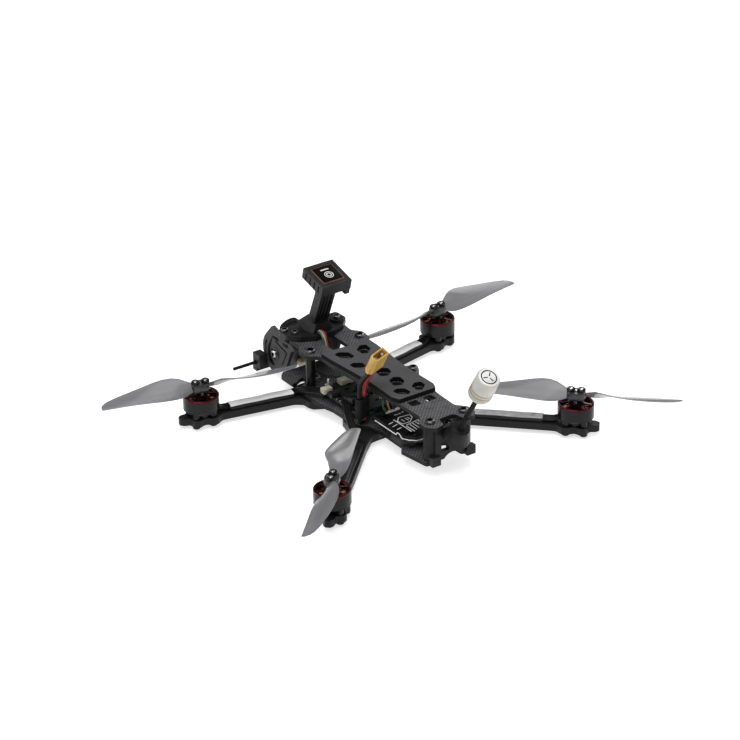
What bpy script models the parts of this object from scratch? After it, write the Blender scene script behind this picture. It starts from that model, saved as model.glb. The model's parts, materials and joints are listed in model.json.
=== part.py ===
"""A four-inch quadcopter drone, modelled as the separate pieces it is assembled from.

Frame: +X is port, -Y is forward, +Z is up. The origin is the middle of the belly, on the
underside of the bottom clamp plate. Sizes are written in millimetres and turned into metres by MM.
"""
import math

import bmesh
import bpy
from mathutils import Matrix, Vector

MM = 0.001
GAP = 0.25                      # clearance left between pieces that touch
TURN = 2 * math.pi

# Driving dimensions, in millimetres.
MOTOR_X, MOTOR_Y = 69.35, 55.75             # half the lateral and fore-and-aft motor spacing
CLAMP_T, ARM_T, PLATE_T, PAD_T = 1.5, 3.5, 2.0, 2.1
STANDOFF_LENGTH = 16.45
BELL_RADIUS, BELL_HEIGHT = 8.7, 7.4
PROP_RADIUS = 50.0
PROP_PITCH = 61.0               # advance per turn, which sets the blade's twist
CAMERA_TILT = math.radians(30)
MAST_LEAN = math.radians(22.6)
GPS_TILT = math.radians(15)
ANTENNA_LEAN = math.radians(31)

# Levels, each stacked on the one below.
ARM_Z = CLAMP_T + GAP
ARM_TOP = ARM_Z + ARM_T
MAIN_Z = ARM_TOP + GAP
MAIN_TOP = MAIN_Z + PLATE_T
POST_Z = MAIN_TOP + GAP
POST_TOP = POST_Z + STANDOFF_LENGTH
TOP_Z = POST_TOP + GAP
TOP_TOP = TOP_Z + PLATE_T
PAD_Z = TOP_TOP + GAP
RIM_Z = 15.85                   # the upper rim of the motor bells
BELL_Z = RIM_Z - BELL_HEIGHT
HUB_Z = RIM_Z + 2.1             # the underside of the propeller hubs
HUB_HEIGHT = 3.9
HUB_TOP = HUB_Z + HUB_HEIGHT

# Places shared by more than one piece: (x, y) in millimetres.
REAR_POST_X, REAR_POST_Y = 9.5, 47.7
POSTS = {"front_port": (14.4, -44.0), "front_starboard": (-14.4, -44.0),
         "rear_port": (REAR_POST_X, REAR_POST_Y), "rear_starboard": (-REAR_POST_X, REAR_POST_Y),
         "side": (-15.3, -0.5)}
STACK_CENTRE_Y, STACK_HALF = -18.0, 12.75
STACK_HOLES = [(sx * STACK_HALF, STACK_CENTRE_Y + sy * STACK_HALF) for sx in (-1, 1) for sy in (-1, 1)]
VTX_CENTRE_Y, VTX_HALF = 23.5, 10.0
VTX_HOLES = [(sx * VTX_HALF, VTX_CENTRE_Y + sy * VTX_HALF) for sx in (-1, 1) for sy in (-1, 1)]
ARM_BOLTS = [(14.4, -44.0), (9.0, -36.5), (8.5, -49.0), (15.3, -0.5), (7.0, -5.5), (8.5, 4.5)]
ARM_HEADING = {-1: math.radians(-11.6), 1: math.radians(44.6)}      # front arms, then rear arms
GPS_SCREWS = [(12.2, -60.4), (14.9, -65.4)]
MOUNT_T = 2.6                   # the mast's base plate
BOSS_TOP = 30.7                 # its raised screw boss on the starboard side
PIVOT_Y, PIVOT_Z = -73.5, 13.8
SIDE_PLATE_X, SIDE_PLATE_T = 13.7, 1.8
BLADE_ANGLES = {"front_port": -12.5, "front_starboard": 187.0, "rear_port": 45.0, "rear_starboard": 134.5}
CORNERS = {"front_port": (1, -1), "front_starboard": (-1, -1), "rear_port": (1, 1), "rear_starboard": (-1, 1)}

LOOKS = {
    "carbon": ((0.030, 0.030, 0.032), 0.45, 0.0),
    "carbon_arm": ((0.024, 0.024, 0.026), 0.50, 0.0),
    "pad": ((0.075, 0.075, 0.078), 0.90, 0.0),
    "tpu": ((0.020, 0.020, 0.021), 0.65, 0.0),
    "side_plate": ((0.055, 0.055, 0.058), 0.70, 0.0),
    "black_metal": ((0.015, 0.015, 0.016), 0.30, 1.0),
    "steel": ((0.60, 0.60, 0.60), 0.25, 1.0),
    "wine": ((0.22, 0.010, 0.022), 0.30, 1.0),
    "copper": ((0.60, 0.28, 0.12), 0.40, 1.0),
    "smoke": ((0.22, 0.22, 0.23), 0.25, 0.0),
    "board": ((0.020, 0.045, 0.035), 0.50, 0.0),
    "black_board": ((0.012, 0.012, 0.012), 0.45, 0.0),
    "chip": ((0.03, 0.03, 0.03), 0.40, 0.0),
    "rubber": ((0.03, 0.03, 0.03), 0.80, 0.0),
    "lens": ((0.02, 0.03, 0.05), 0.05, 0.0),
    "xt30": ((0.72, 0.44, 0.08), 0.45, 0.0),
    "brass": ((0.75, 0.58, 0.28), 0.25, 1.0),
    "red_wire": ((0.55, 0.05, 0.05), 0.55, 0.0),
    "black_wire": ((0.015, 0.015, 0.015), 0.50, 0.0),
    "milky": ((0.80, 0.77, 0.68), 0.40, 0.0),
    "wrap": ((0.03, 0.03, 0.03), 0.20, 0.0),
}


# ---------------------------------------------------------------- scene helpers

def clear_scene():
    for old in list(bpy.data.objects):
        bpy.data.objects.remove(old, do_unlink=True)


def make_collection(name):
    group = bpy.data.collections.new(name)
    bpy.context.scene.collection.children.link(group)
    return group


clear_scene()
DRONE = make_collection("quadcopter_drone")
CUTTERS = make_collection("cutters")


def make_material(name, look):
    colour, roughness, metallic = LOOKS[look]
    material = bpy.data.materials.new(name)
    material.use_nodes = True
    shader = material.node_tree.nodes["Principled BSDF"]
    shader.inputs["Base Color"].default_value = (*colour, 1.0)
    shader.inputs["Roughness"].default_value = roughness
    shader.inputs["Metallic"].default_value = metallic
    material.diffuse_color = (*colour, 1.0)
    return material


def add_object(name, mesh, look, location=(0, 0, 0), rotation=(0, 0, 0)):
    """Link a mesh as a named piece; the location is in millimetres."""
    piece = bpy.data.objects.new(name, mesh)
    mesh.materials.clear()
    mesh.materials.append(make_material(name, look))
    DRONE.objects.link(piece)
    piece.location = Vector(location) * MM
    piece.rotation_euler = rotation
    return piece


def mesh_from(bm, name, smooth_angle=35):
    """Scale a bmesh from millimetres to metres and turn it into a mesh."""
    bmesh.ops.scale(bm, vec=(MM, MM, MM), verts=bm.verts)
    bmesh.ops.recalc_face_normals(bm, faces=bm.faces)
    mesh = bpy.data.meshes.new(name)
    bm.to_mesh(mesh)
    bm.free()
    mesh.shade_smooth()
    mesh.set_sharp_from_angle(angle=math.radians(smooth_angle))
    return mesh


def make_cutter(name, bm):
    """A hidden guide that a Boolean subtracts from, or adds to, a piece."""
    cutter = bpy.data.objects.new(name, mesh_from(bm, name))
    CUTTERS.objects.link(cutter)
    cutter.hide_render = True
    cutter.display_type = "WIRE"
    return cutter


def combine(piece, bm, operation="DIFFERENCE"):
    cutter = make_cutter(piece.name + "_" + operation.lower() + str(len(piece.modifiers)), bm)
    step = piece.modifiers.new(operation.lower(), "BOOLEAN")
    step.operation = operation
    step.solver = "EXACT"
    step.object = cutter
    return piece


def evaluated_mesh(holder, name):
    """The mesh that a curve evaluates to, with its loose caps welded on."""
    bpy.context.view_layer.update()
    graph = bpy.context.evaluated_depsgraph_get()
    mesh = bpy.data.meshes.new_from_object(holder.evaluated_get(graph))
    bm = bmesh.new()
    bm.from_mesh(mesh)
    bmesh.ops.remove_doubles(bm, verts=bm.verts, dist=1e-6)
    bmesh.ops.recalc_face_normals(bm, faces=bm.faces)
    bm.to_mesh(mesh)
    bm.free()
    mesh.name = name
    bpy.data.objects.remove(holder, do_unlink=True)
    return mesh


# ---------------------------------------------------------------- outlines

def rounded(corners, steps=3):
    """Round each corner (x, y, radius) of a closed outline with a small arc."""
    points = []
    count = len(corners)
    for index, (x, y, radius) in enumerate(corners):
        here = Vector((x, y))
        before = Vector(corners[index - 1][:2]) - here
        after = Vector(corners[(index + 1) % count][:2]) - here
        half = before.angle(after) / 2
        reach = min(radius / max(math.tan(half), 1e-3), 0.48 * before.length, 0.48 * after.length)
        if reach < 0.05:
            points.append(here)
            continue
        start = here + before.normalized() * reach
        finish = here + after.normalized() * reach
        for step in range(steps + 1):
            t = step / steps
            points.append(start * (1 - t) ** 2 + here * 2 * t * (1 - t) + finish * t ** 2)
    return points


def both_sides(half):
    """A closed outline from its port half, listed from bow to stern without its middle points."""
    return half + [(-x, y, r) for x, y, r in reversed(half)]


def circle(x, y, radius, sides=12):
    return [Vector((x + radius * math.cos(TURN * i / sides), y + radius * math.sin(TURN * i / sides)))
            for i in range(sides)]


def arc_slot(x, y, inner, outer, start, finish, steps=8):
    """A slot bent round (x, y), between two radii and two angles in degrees."""
    angles = [math.radians(start + (finish - start) * i / steps) for i in range(steps + 1)]
    there = [Vector((x + outer * math.cos(a), y + outer * math.sin(a))) for a in angles]
    back = [Vector((x + inner * math.cos(a), y + inner * math.sin(a))) for a in reversed(angles)]
    return there + back


def plate_mesh(name, loops, low, thickness):
    """An extruded flat outline; the loops after the first are its holes."""
    curve = bpy.data.curves.new(name, "CURVE")
    curve.dimensions = "2D"
    curve.fill_mode = "BOTH"
    curve.extrude = thickness / 2 * MM
    for loop in loops:
        spline = curve.splines.new("POLY")
        spline.points.add(len(loop) - 1)
        for point, place in zip(spline.points, loop):
            point.co = (place[0] * MM, place[1] * MM, 0, 1)
        spline.use_cyclic_u = True
    holder = bpy.data.objects.new(name, curve)
    DRONE.objects.link(holder)
    mesh = evaluated_mesh(holder, name)
    mesh.transform(Matrix.Translation((0, 0, (low + thickness / 2) * MM)))
    return mesh


def plate(name, loops, low, thickness, look):
    return add_object(name, plate_mesh(name, loops, low, thickness), look)


# ---------------------------------------------------------------- solids inside a bmesh

def add_cylinder(bm, radius, low, high, place=(0, 0), sides=16, top_radius=None, matrix=None):
    middle = Matrix.Translation((place[0], place[1], (low + high) / 2))
    bmesh.ops.create_cone(bm, cap_ends=True, segments=sides, radius1=radius,
                          radius2=radius if top_radius is None else top_radius,
                          depth=high - low, matrix=(matrix or Matrix()) @ middle)


def add_box(bm, size, centre, matrix=None):
    shape = Matrix.Translation(centre) @ Matrix.Diagonal((*size, 1))
    bmesh.ops.create_cube(bm, size=1, matrix=(matrix or Matrix()) @ shape)


def add_ring(bm, outer, inner, low, high, place=(0, 0), sides=24):
    """A tube with open ends, lofted from four rings."""
    loops = []
    for radius, z in ((outer, low), (outer, high), (inner, high), (inner, low)):
        loops.append([bm.verts.new((place[0] + radius * math.cos(TURN * i / sides),
                                    place[1] + radius * math.sin(TURN * i / sides), z))
                      for i in range(sides)])
    for ring in range(4):
        a, b = loops[ring], loops[(ring + 1) % 4]
        for i in range(sides):
            j = (i + 1) % sides
            bm.faces.new((a[i], a[j], b[j], b[i]))


def turned(name, profile, look, sides, location=(0, 0, 0), rotation=(0, 0, 0)):
    """A profile (radius, height) turned about its own Z axis; it closes on itself or on the axis."""
    bm = bmesh.new()
    verts = [bm.verts.new((radius * MM, 0, height * MM)) for radius, height in profile]
    for a, b in zip(verts, verts[1:]):
        bm.edges.new((a, b))
    if profile[0][0] > 0:
        bm.edges.new((verts[-1], verts[0]))
    mesh = bpy.data.meshes.new(name)
    bm.to_mesh(mesh)
    bm.free()
    piece = add_object(name, mesh, look, location, rotation)
    screw = piece.modifiers.new("turn", "SCREW")
    screw.steps = sides
    screw.render_steps = sides
    screw.use_merge_vertices = True
    screw.merge_threshold = 0.00001
    screw.use_smooth_shade = True
    return piece


def smooth_route(points, spacing):
    """Evenly spaced points on one smooth curve through the route's own points."""
    places = [Vector(p) for p in points]
    padded = [places[0] * 2 - places[1]] + places + [places[-1] * 2 - places[-2]]
    fine = []
    for i in range(1, len(padded) - 2):
        p0, p1, p2, p3 = padded[i - 1:i + 3]
        for step in range(20):
            t = step / 20
            fine.append(0.5 * (2 * p1 + (p2 - p0) * t + (2 * p0 - 5 * p1 + 4 * p2 - p3) * t * t
                               + (3 * p1 - p0 - 3 * p2 + p3) * t ** 3))
    fine.append(places[-1])
    length = sum((b - a).length for a, b in zip(fine, fine[1:]))
    count = max(2, round(length / spacing))
    route, travelled, target = [fine[0]], 0.0, length / count
    for a, b in zip(fine, fine[1:]):
        stretch = (b - a).length
        while stretch > 0 and travelled + stretch >= target and len(route) < count:
            route.append(a.lerp(b, (target - travelled) / stretch))
            target += length / count
        travelled += stretch
    return route + [places[-1]]


def wire_mesh(name, routes, radius, spacing):
    """Round wires along their routes, as one mesh of separate tubes."""
    curve = bpy.data.curves.new(name, "CURVE")
    curve.dimensions = "3D"
    curve.bevel_depth = radius * MM
    curve.bevel_resolution = 2
    curve.use_fill_caps = True
    for points in routes:
        route = smooth_route(points, spacing)
        spline = curve.splines.new("POLY")
        spline.points.add(len(route) - 1)
        for point, place in zip(spline.points, route):
            point.co = (*(place * MM), 1)
    holder = bpy.data.objects.new(name, curve)
    DRONE.objects.link(holder)
    return evaluated_mesh(holder, name)


def wires(name, routes, radius, look, spacing=4.0):
    mesh = wire_mesh(name, routes, radius, spacing)
    mesh.shade_smooth()
    return add_object(name, mesh, look)


# ---------------------------------------------------------------- frame plates and posts

def build_clamp_plate():
    half = [(12, -51, 3), (19.0, -47, 3), (19.5, -36, 3), (10.5, -31.0, 3), (9.5, -15, 3),
            (16.5, -11, 3), (18.0, -2, 3), (13.5, 8, 3)]
    holes = [circle(side * x, y, 1.6 + GAP) for side in (-1, 1) for x, y in ARM_BOLTS]
    return plate("bottom_clamp_plate", [rounded(both_sides(half))] + holes, 0, CLAMP_T, "carbon")


def build_arms():
    """Front arms run almost straight out; rear arms sweep back at 45 degrees. Each has a bolted root."""
    lobes = [(-13, 4.3, 4), (-8.8, 4.4, 3), (-5.8, 7.2, 2), (-3.2, 7.3, 1.5), (0.0, 5.3, 2.5),
             (3.2, 7.3, 1.5), (5.8, 6.6, 1.8), (6.9, 2.9, 1.8), (9.8, 2.5, 1.2), (11.4, 1.2, 1)]
    roots = {-1: [(21.8, -39.5, 2), (21.6, -35.0, 2), (17.4, -31.2, 2), (6.5, -31.2, 3), (4.0, -35, 3),
                  (4.0, -49, 3), (8.0, -53.5, 3), (16.0, -53.2, 4)],
             1: [(17.0, 11.0, 3), (12.5, 10.5, 3), (5.0, 7.0, 3), (4.0, 2.0, 3), (4.0, -9.0, 3),
                 (7.0, -11.9, 2), (18.2, -11.8, 1), (20.5, -3.0, 3), (24.0, 3.5, 4)]}
    for name, (side_x, side_y) in CORNERS.items():
        hub = Vector((MOTOR_X, side_y * MOTOR_Y))
        along = Vector((math.cos(ARM_HEADING[side_y]), math.sin(ARM_HEADING[side_y])))
        across = Vector((-along.y, along.x))
        beam = [(-46 if side_y < 0 else -60, 4.3, 6)] + lobes
        corners = [(*(hub + along * x - across * y), r) for x, y, r in beam]
        corners += [(*(hub + along * x + across * y), r) for x, y, r in reversed(beam)]
        loops = [rounded(corners + roots[side_y])]
        loops += [circle(x, y, 1.0 + GAP, 8) for x, y in motor_screw_places(side_y)]
        loops.append(circle(hub.x, hub.y, 2.6, 12))
        loops += [circle(x, y, 1.6 + GAP, 10) for x, y in ARM_BOLTS if (y < -20) == (side_y < 0)]
        loops = [[Vector((side_x * point[0], point[1])) for point in loop] for loop in loops]
        plate("arm_" + name, loops, ARM_Z, ARM_T, "carbon_arm")


def motor_screw_places(side_y):
    """The four screws of a port-side motor, on a 12 mm circle square to its arm."""
    angles = [ARM_HEADING[side_y] + TURN * (k + 0.5) / 4 for k in range(4)]
    return [(MOTOR_X + 6.0 * math.cos(a), side_y * MOTOR_Y + 6.0 * math.sin(a)) for a in angles]


def build_main_plate():
    half = [(16.8, -65.2, 2), (19.6, -62.5, 1.5), (19.8, -51.2, 1), (12.2, -55.0, 1.5),
            (11.8, -50.8, 1.5), (17.0, -47.5, 2), (21.0, -41.5, 3), (20.6, -28, 4), (18.6, -19, 4),
            (18.4, -9, 3), (19.5, -2, 3), (14.2, 6.5, 4), (12.6, 14, 4), (12.7, 29.6, 1),
            (15.8, 33.4, 0.8), (13.4, 50.2, 1.5), (6.6, 50.2, 1.5), (5.9, 38.0, 2)]
    holes = [circle(side * REAR_POST_X, REAR_POST_Y, 1.6 + GAP) for side in (-1, 1)]
    holes += [circle(x, y, 1.0 + GAP, 10) for x, y in STACK_HOLES + VTX_HOLES]
    holes += [circle(side * x, y, 1.6 + GAP) for side in (-1, 1) for x, y in ARM_BOLTS]
    return plate("main_plate", [rounded(both_sides(half))] + holes, MAIN_Z, PLATE_T, "carbon")


def build_top_plate():
    port = [(4.4, -63.2, 1), (14.2, -63.2, 2), (15.6, -60.0, 2), (14.9, -52.0, 3), (18.6, -47.5, 3),
            (17.8, -40.3, 2.5), (13.3, -37.2, 2), (13.4, -24.6, 3), (10.2, 28.6, 5), (9.8, 40.2, 3),
            (14.0, 45.0, 3), (13.9, 51.0, 3), (10.6, 54.0, 2.5), (5.4, 53.0, 2), (4.4, 47.2, 2)]
    tab = [(-12.1, 5.0, 2), (-16.2, 3.2, 2), (-18.4, -0.5, 2.5), (-16.4, -4.2, 2), (-12.4, -5.5, 2)]
    starboard = [(-x, y, r) for x, y, r in reversed(port)]
    outline = port + starboard[:7] + tab + starboard[7:] + [(-4.4, -37.0, 1), (4.4, -37.0, 1)]
    holes = [circle(x, y, 1.6 + GAP) for x, y in POSTS.values()]
    holes += [circle(side * 12.2, -60.4, 1.0 + GAP, 10) for side in (-1, 1)]
    slot = [(1.8, 25.6, 0.8), (6.8, 25.6, 0.8), (7.0, 30.2, 0.8), (1.8, 30.6, 0.8)]
    holes += [rounded([(side * x, y, r) for x, y, r in slot], 2) for side in (-1, 1)]
    holes += pad_holes(0.84)
    return plate("top_plate", [rounded(outline)] + holes, TOP_Z, PLATE_T, "carbon")


# The pad's slanted six-sided holes: pairs in mirror image, and two single ones on the middle line.
PAIRED_HOLES = [[(9.1, -31.0), (6.2, -31.9), (2.2, -28.9), (2.2, -24.2), (4.8, -22.8), (8.8, -26.5)],
                [(9.4, -17.9), (6.6, -18.7), (3.1, -16.1), (3.4, -12.8), (6.2, -11.5), (9.2, -14.2)],
                [(8.1, 15.9), (5.0, 14.9), (1.9, 17.1), (1.6, 21.4), (4.2, 22.9), (8.0, 19.4)]]
SINGLE_HOLES = [[(3.2, -5.4), (-0.9, -6.9), (-3.6, -4.5), (-2.8, -0.7), (0.6, 1.9), (4.1, 0.3)],
                [(3.4, 6.2), (-0.3, 4.4), (-3.0, 6.4), (-2.4, 10.6), (0.8, 13.5), (4.7, 11.8)]]


def pad_holes(scale):
    """The pad's holes, each scaled about its own middle."""
    outlines = PAIRED_HOLES + [[(-x, y) for x, y in outline] for outline in PAIRED_HOLES] + SINGLE_HOLES
    loops = []
    for outline in outlines:
        middle = sum((Vector(corner) for corner in outline), Vector((0, 0))) / len(outline)
        corners = [middle + (Vector(corner) - middle) * scale for corner in outline]
        loops.append(rounded([(corner.x, corner.y, 0.7) for corner in corners], 1))
    return loops


def build_battery_pad():
    half = [(6, -35.2, 3), (10.5, -37.5, 2), (13.6, -36.0, 1.5), (13.5, -28.0, 3), (11.6, -4.0, 3),
            (11.5, 7.0, 3), (11.9, 20.6, 1.2), (10.4, 24.6, 1)]
    return plate("battery_pad", [rounded(both_sides(half))] + pad_holes(1.0), PAD_Z, PAD_T, "pad")


def build_standoffs():
    """Round posts between the plates, each bored right through for its screws."""
    for name, (x, y) in POSTS.items():
        bm = bmesh.new()
        add_ring(bm, 2.4, 1.4, POST_Z, POST_TOP, (x, y), 12)
        add_object("standoff_" + name, mesh_from(bm, "standoff"), "black_metal")


# ---------------------------------------------------------------- nose: side plates and camera

def side_outline():
    """The side plate's outline in its own plane: (y, z) with the pivot at the centre of its nose arc."""
    reach = 11.3
    nose = [(PIVOT_Y + reach * math.cos(math.radians(a)), PIVOT_Z + reach * math.sin(math.radians(a)), 0)
            for a in range(137, 256, 13)]
    rest = [(-75.2, 3.4, 1), (-65.2, 8.6, 1), (-64.0, 10.0, 1), (-59.3, 20.6, 0.8), (-55.9, 22.0, 0.6),
            (-58.8, 24.0, 0.6), (-64.4, 24.1, 0.6), (-65.9, 26.1, 0.6), (-71.4, 26.4, 1), (-76.2, 27.8, 1)]
    return rounded(nose + rest, 2)


def build_side_plates():
    slots = [arc_slot(PIVOT_Y, PIVOT_Z, 8.2, 9.5, 148, 238),
             rounded([(-76.4, 22.9, 0.6), (-71.4, 22.2, 0.6), (-71.2, 20.8, 0.6), (-76.2, 21.4, 0.6)], 2),
             rounded([(-66.4, 22.8, 0.6), (-62.6, 22.0, 0.6), (-62.6, 20.4, 0.6), (-66.4, 21.2, 0.6)], 2),
             circle(PIVOT_Y, PIVOT_Z, 1.0 + GAP, 12)]
    mesh = plate_mesh("side_plate", [side_outline()] + slots, 0, SIDE_PLATE_T)
    upright = Matrix(((0, 0, 1, 0), (1, 0, 0, 0), (0, 1, 0, 0), (0, 0, 0, 1)))
    for name, low in (("port", SIDE_PLATE_X), ("starboard", -SIDE_PLATE_X - SIDE_PLATE_T)):
        copy = mesh.copy()
        copy.transform(Matrix.Translation((low * MM, 0, 0)) @ upright)
        add_object("camera_side_plate_" + name, copy, "side_plate")


def camera_matrix():
    """Camera space: +Z looks out of the lens, +Y is the camera's top, the origin is the pivot."""
    look = Vector((0, -math.cos(CAMERA_TILT), math.sin(CAMERA_TILT)))
    up = Vector((0, math.sin(CAMERA_TILT), math.cos(CAMERA_TILT)))
    across = up.cross(look)
    turn = Matrix((across, up, look)).transposed().to_4x4()
    return Matrix.Translation((0, PIVOT_Y, PIVOT_Z)) @ turn


def build_camera():
    """The camera tilts about its pivot screws, so its pieces share the pivot as their parent."""
    pivot = bpy.data.objects.new("camera_pivot", None)
    DRONE.objects.link(pivot)
    pivot.location = Vector((0, PIVOT_Y, PIVOT_Z)) * MM
    pivot.rotation_euler = camera_matrix().to_euler()
    bm = bmesh.new()
    add_box(bm, (19, 19, 10), (0, 0, 0))
    body = add_object("camera_body", mesh_from(bm, "camera_body"), "chip")
    edges = body.modifiers.new("edges", "BEVEL")
    edges.width = 0.8 * MM
    edges.segments = 1
    socket = bmesh.new()
    add_cylinder(socket, 5.6, 2.0, 8.0, sides=20)
    for side in (-1, 1):
        cross = Matrix.Rotation(math.radians(90), 4, "Y")
        add_cylinder(socket, 1.0 + GAP, side * 9.0 - 2.0, side * 9.0 + 2.0, sides=12, matrix=cross)
    combine(body, socket)
    body.modifiers[-1].object.parent = pivot
    barrel = turned("lens_barrel", [(4.2, 13.4), (5.0, 13.4), (5.3, 12.8), (5.3, 2.3), (3.6, 2.3),
                                    (3.6, 11.4)], "rubber", 20)
    glass = turned("lens_glass", [(0, 12.8), (2.1, 12.5), (3.3, 11.6), (3.3, 10.0), (0, 10.0)], "lens", 20)
    head = SIDE_PLATE_X + SIDE_PLATE_T + GAP
    screw = [(0, head + 1.3), (1.3, head + 1.3), (1.9, head + 0.6), (1.9, head), (1.0, head),
             (1.0, 7.4), (0, 7.4)]
    pieces = [body, barrel, glass]
    for name, side in (("port", 1), ("starboard", -1)):
        pieces.append(turned("camera_pivot_screw_" + name, screw, "steel", 12,
                             rotation=(0, side * math.radians(90), 0)))
    for piece in pieces:
        piece.parent = pivot


def build_front_antennas():
    """A printed holder low on the nose, with a receiver antenna sticking out of each end."""
    bm = bmesh.new()
    add_box(bm, (41.4, 3.4, 3.4), (0, -84.6, 3.4))
    holder = add_object("receiver_antenna_holder", mesh_from(bm, "receiver_antenna_holder"), "tpu")
    for side in (-1, 1):
        block = bmesh.new()
        add_box(block, (4.4, 6.0, 7.0), (side * 18.4, -83.2, 7.6))
        combine(holder, block, "UNION")
    bore = bmesh.new()
    for side in (-1, 1):
        turn = Matrix.Rotation(side * math.radians(90), 4, "Y")
        turn.translation = Vector((0, -84.0, 6.2))
        add_cylinder(bore, 1.25, 17.0, 24.0, sides=12, matrix=turn)
    combine(holder, bore)
    for name, side in (("port", 1), ("starboard", -1)):
        rod = [(side * 17.3, -84.0, 6.2), (side * 25, -84.0, 6.2), (side * 33.3, -84.2, 6.1)]
        wires("receiver_antenna_" + name, [rod], 0.85, "rubber")


# ---------------------------------------------------------------- mast and its positioning module

def build_gps_mount():
    """One printed piece: a base on the plate's prongs, a ribbed mast, and a square tray on top."""
    half = [(9, -68.0, 2), (17.2, -68.4, 2), (17.4, -60.0, 3), (12.5, -55.2, 3),
            (5.2, -51.5, 2)]
    mount = plate("gps_mount", [rounded(both_sides(half))], TOP_TOP + GAP, MOUNT_T, "tpu")
    starboard = (-GPS_SCREWS[0][0], GPS_SCREWS[0][1])
    boss = bmesh.new()
    add_cylinder(boss, 3.9, TOP_TOP + 1.0, BOSS_TOP, starboard, 20, top_radius=3.6)
    combine(mount, boss, "UNION")
    bores = bmesh.new()
    for x, y in GPS_SCREWS + [starboard]:
        add_cylinder(bores, 1.0 + GAP, TOP_TOP - 1, BOSS_TOP + 1, (x, y), 10)
    combine(mount, bores)
    lean = Matrix.Translation((0, -61.3, TOP_TOP + 0.9)) @ Matrix.Rotation(-MAST_LEAN, 4, "X")
    mast = bmesh.new()
    add_box(mast, (8.3, 5.1, 32.8), (0, 0, 17.05), lean)
    combine(mount, mast, "UNION")
    flare = bmesh.new()
    add_cylinder(flare, 9.6, 1.9, 8.4, sides=4, top_radius=5.4,
                 matrix=lean @ Matrix.Rotation(math.radians(45), 4, "Z"))
    combine(mount, flare, "UNION")
    tray_place = Matrix.Translation((0, -49.15, 61.95)) @ Matrix.Rotation(-GPS_TILT, 4, "X")
    tray = bmesh.new()
    add_box(tray, (16.8, 17.2, 5.6), (0, 0, -2.8), tray_place)
    combine(mount, tray, "UNION")
    hook = bmesh.new()
    add_box(hook, (2.6, 2.2, 3.4), (-6.9, 7.3, -6.6), tray_place)
    combine(mount, hook, "UNION")
    cuts = bmesh.new()
    add_box(cuts, (13.4, 13.4, 4.0), (0, 0, 0.4), tray_place)
    for x in (-1.9, 0, 1.9):
        add_box(cuts, (0.7, 1.2, 18), (x, 2.6, 17.5), lean)
    for y in (-5.4, -1.8, 1.8, 5.4):
        for side in (-1, 1):
            add_box(cuts, (1.2, 1.0, 4.0), (side * 8.5, y, -3.1), tray_place)
    combine(mount, cuts)
    module = bmesh.new()
    add_box(module, (12.9, 12.9, 1.3), (0, 0, -0.85), tray_place)
    add_object("gps_module", mesh_from(module, "gps_module"), "chip")


# ---------------------------------------------------------------- stern: video antenna and its mount

ANTENNA_FOOT = Vector((0, 58.7, 25.4))


def antenna_matrix():
    """+Z runs up the video antenna, from the point where its stem leaves the mount."""
    return Matrix.Translation(ANTENNA_FOOT) @ Matrix.Rotation(-ANTENNA_LEAN, 4, "X")


def build_rear_mount():
    """A printed wall sleeved onto the rear posts, with a hooded boss for the antenna and two windows."""
    bm = bmesh.new()
    add_box(bm, (19.4, 2.5, 16.2), (0, 50.95, 16.0))
    mount = add_object("rear_antenna_mount", mesh_from(bm, "rear_antenna_mount"), "tpu")
    for side in (-1, 1):
        sleeve = bmesh.new()
        add_cylinder(sleeve, 3.3, POST_Z, POST_TOP - 0.1, (side * 9.5, 47.7), 18)
        combine(mount, sleeve, "UNION")
        foot = bmesh.new()
        add_box(foot, (4.8, 3.0, 4.6), (side * 9.9, 52.05, 8.35))
        combine(mount, foot, "UNION")
    boss = bmesh.new()
    add_cylinder(boss, 6.9, -7.4, 0.0, sides=20, top_radius=4.2, matrix=antenna_matrix())
    combine(mount, boss, "UNION")
    cuts = bmesh.new()
    for side in (-1, 1):
        add_cylinder(cuts, 2.4 + GAP, POST_Z - 6, POST_TOP + 2, (side * 9.5, 47.7), 16)
        add_box(cuts, (4.3, 8, 4.8), (side * 4.15, 53.4, 14.4))
    add_cylinder(cuts, 1.5, -12.0, 2.0, sides=14, matrix=antenna_matrix())
    combine(mount, cuts)
    arch = bmesh.new()
    add_cylinder(arch, 6.0, 40, 64, sides=20,
                 matrix=Matrix.Translation((0, 0, 4.3)) @ Matrix.Rotation(math.radians(-90), 4, "X"))
    combine(mount, arch)


def build_video_antenna():
    place = antenna_matrix()
    rotation = place.to_euler()
    turned("video_antenna_stem", [(0, 28.3), (1.2, 28.3), (1.2, -6.5), (0, -6.5)], "rubber", 12,
           ANTENNA_FOOT, rotation)
    turned("video_antenna_element", [(1.5, 36.5), (3.6, 36.5), (3.6, 28.9), (2.2, 28.9), (1.5, 29.5)],
           "brass", 16, ANTENNA_FOOT, rotation)
    cap = [(0, 40.8), (4.9, 40.8), (5.5, 40.2), (5.7, 28.2), (4.9, 26.6), (1.5, 26.6), (1.5, 27.9),
           (4.3, 28.5), (4.2, 38.6), (0, 38.6)]
    turned("video_antenna_cap", cap, "milky", 20, ANTENNA_FOOT, rotation)


# ---------------------------------------------------------------- electronics between the plates

BOARD_Z, BOARD_T = 10.2, 1.6
VTX_Z, VTX_T = 11.6, 1.2


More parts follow.
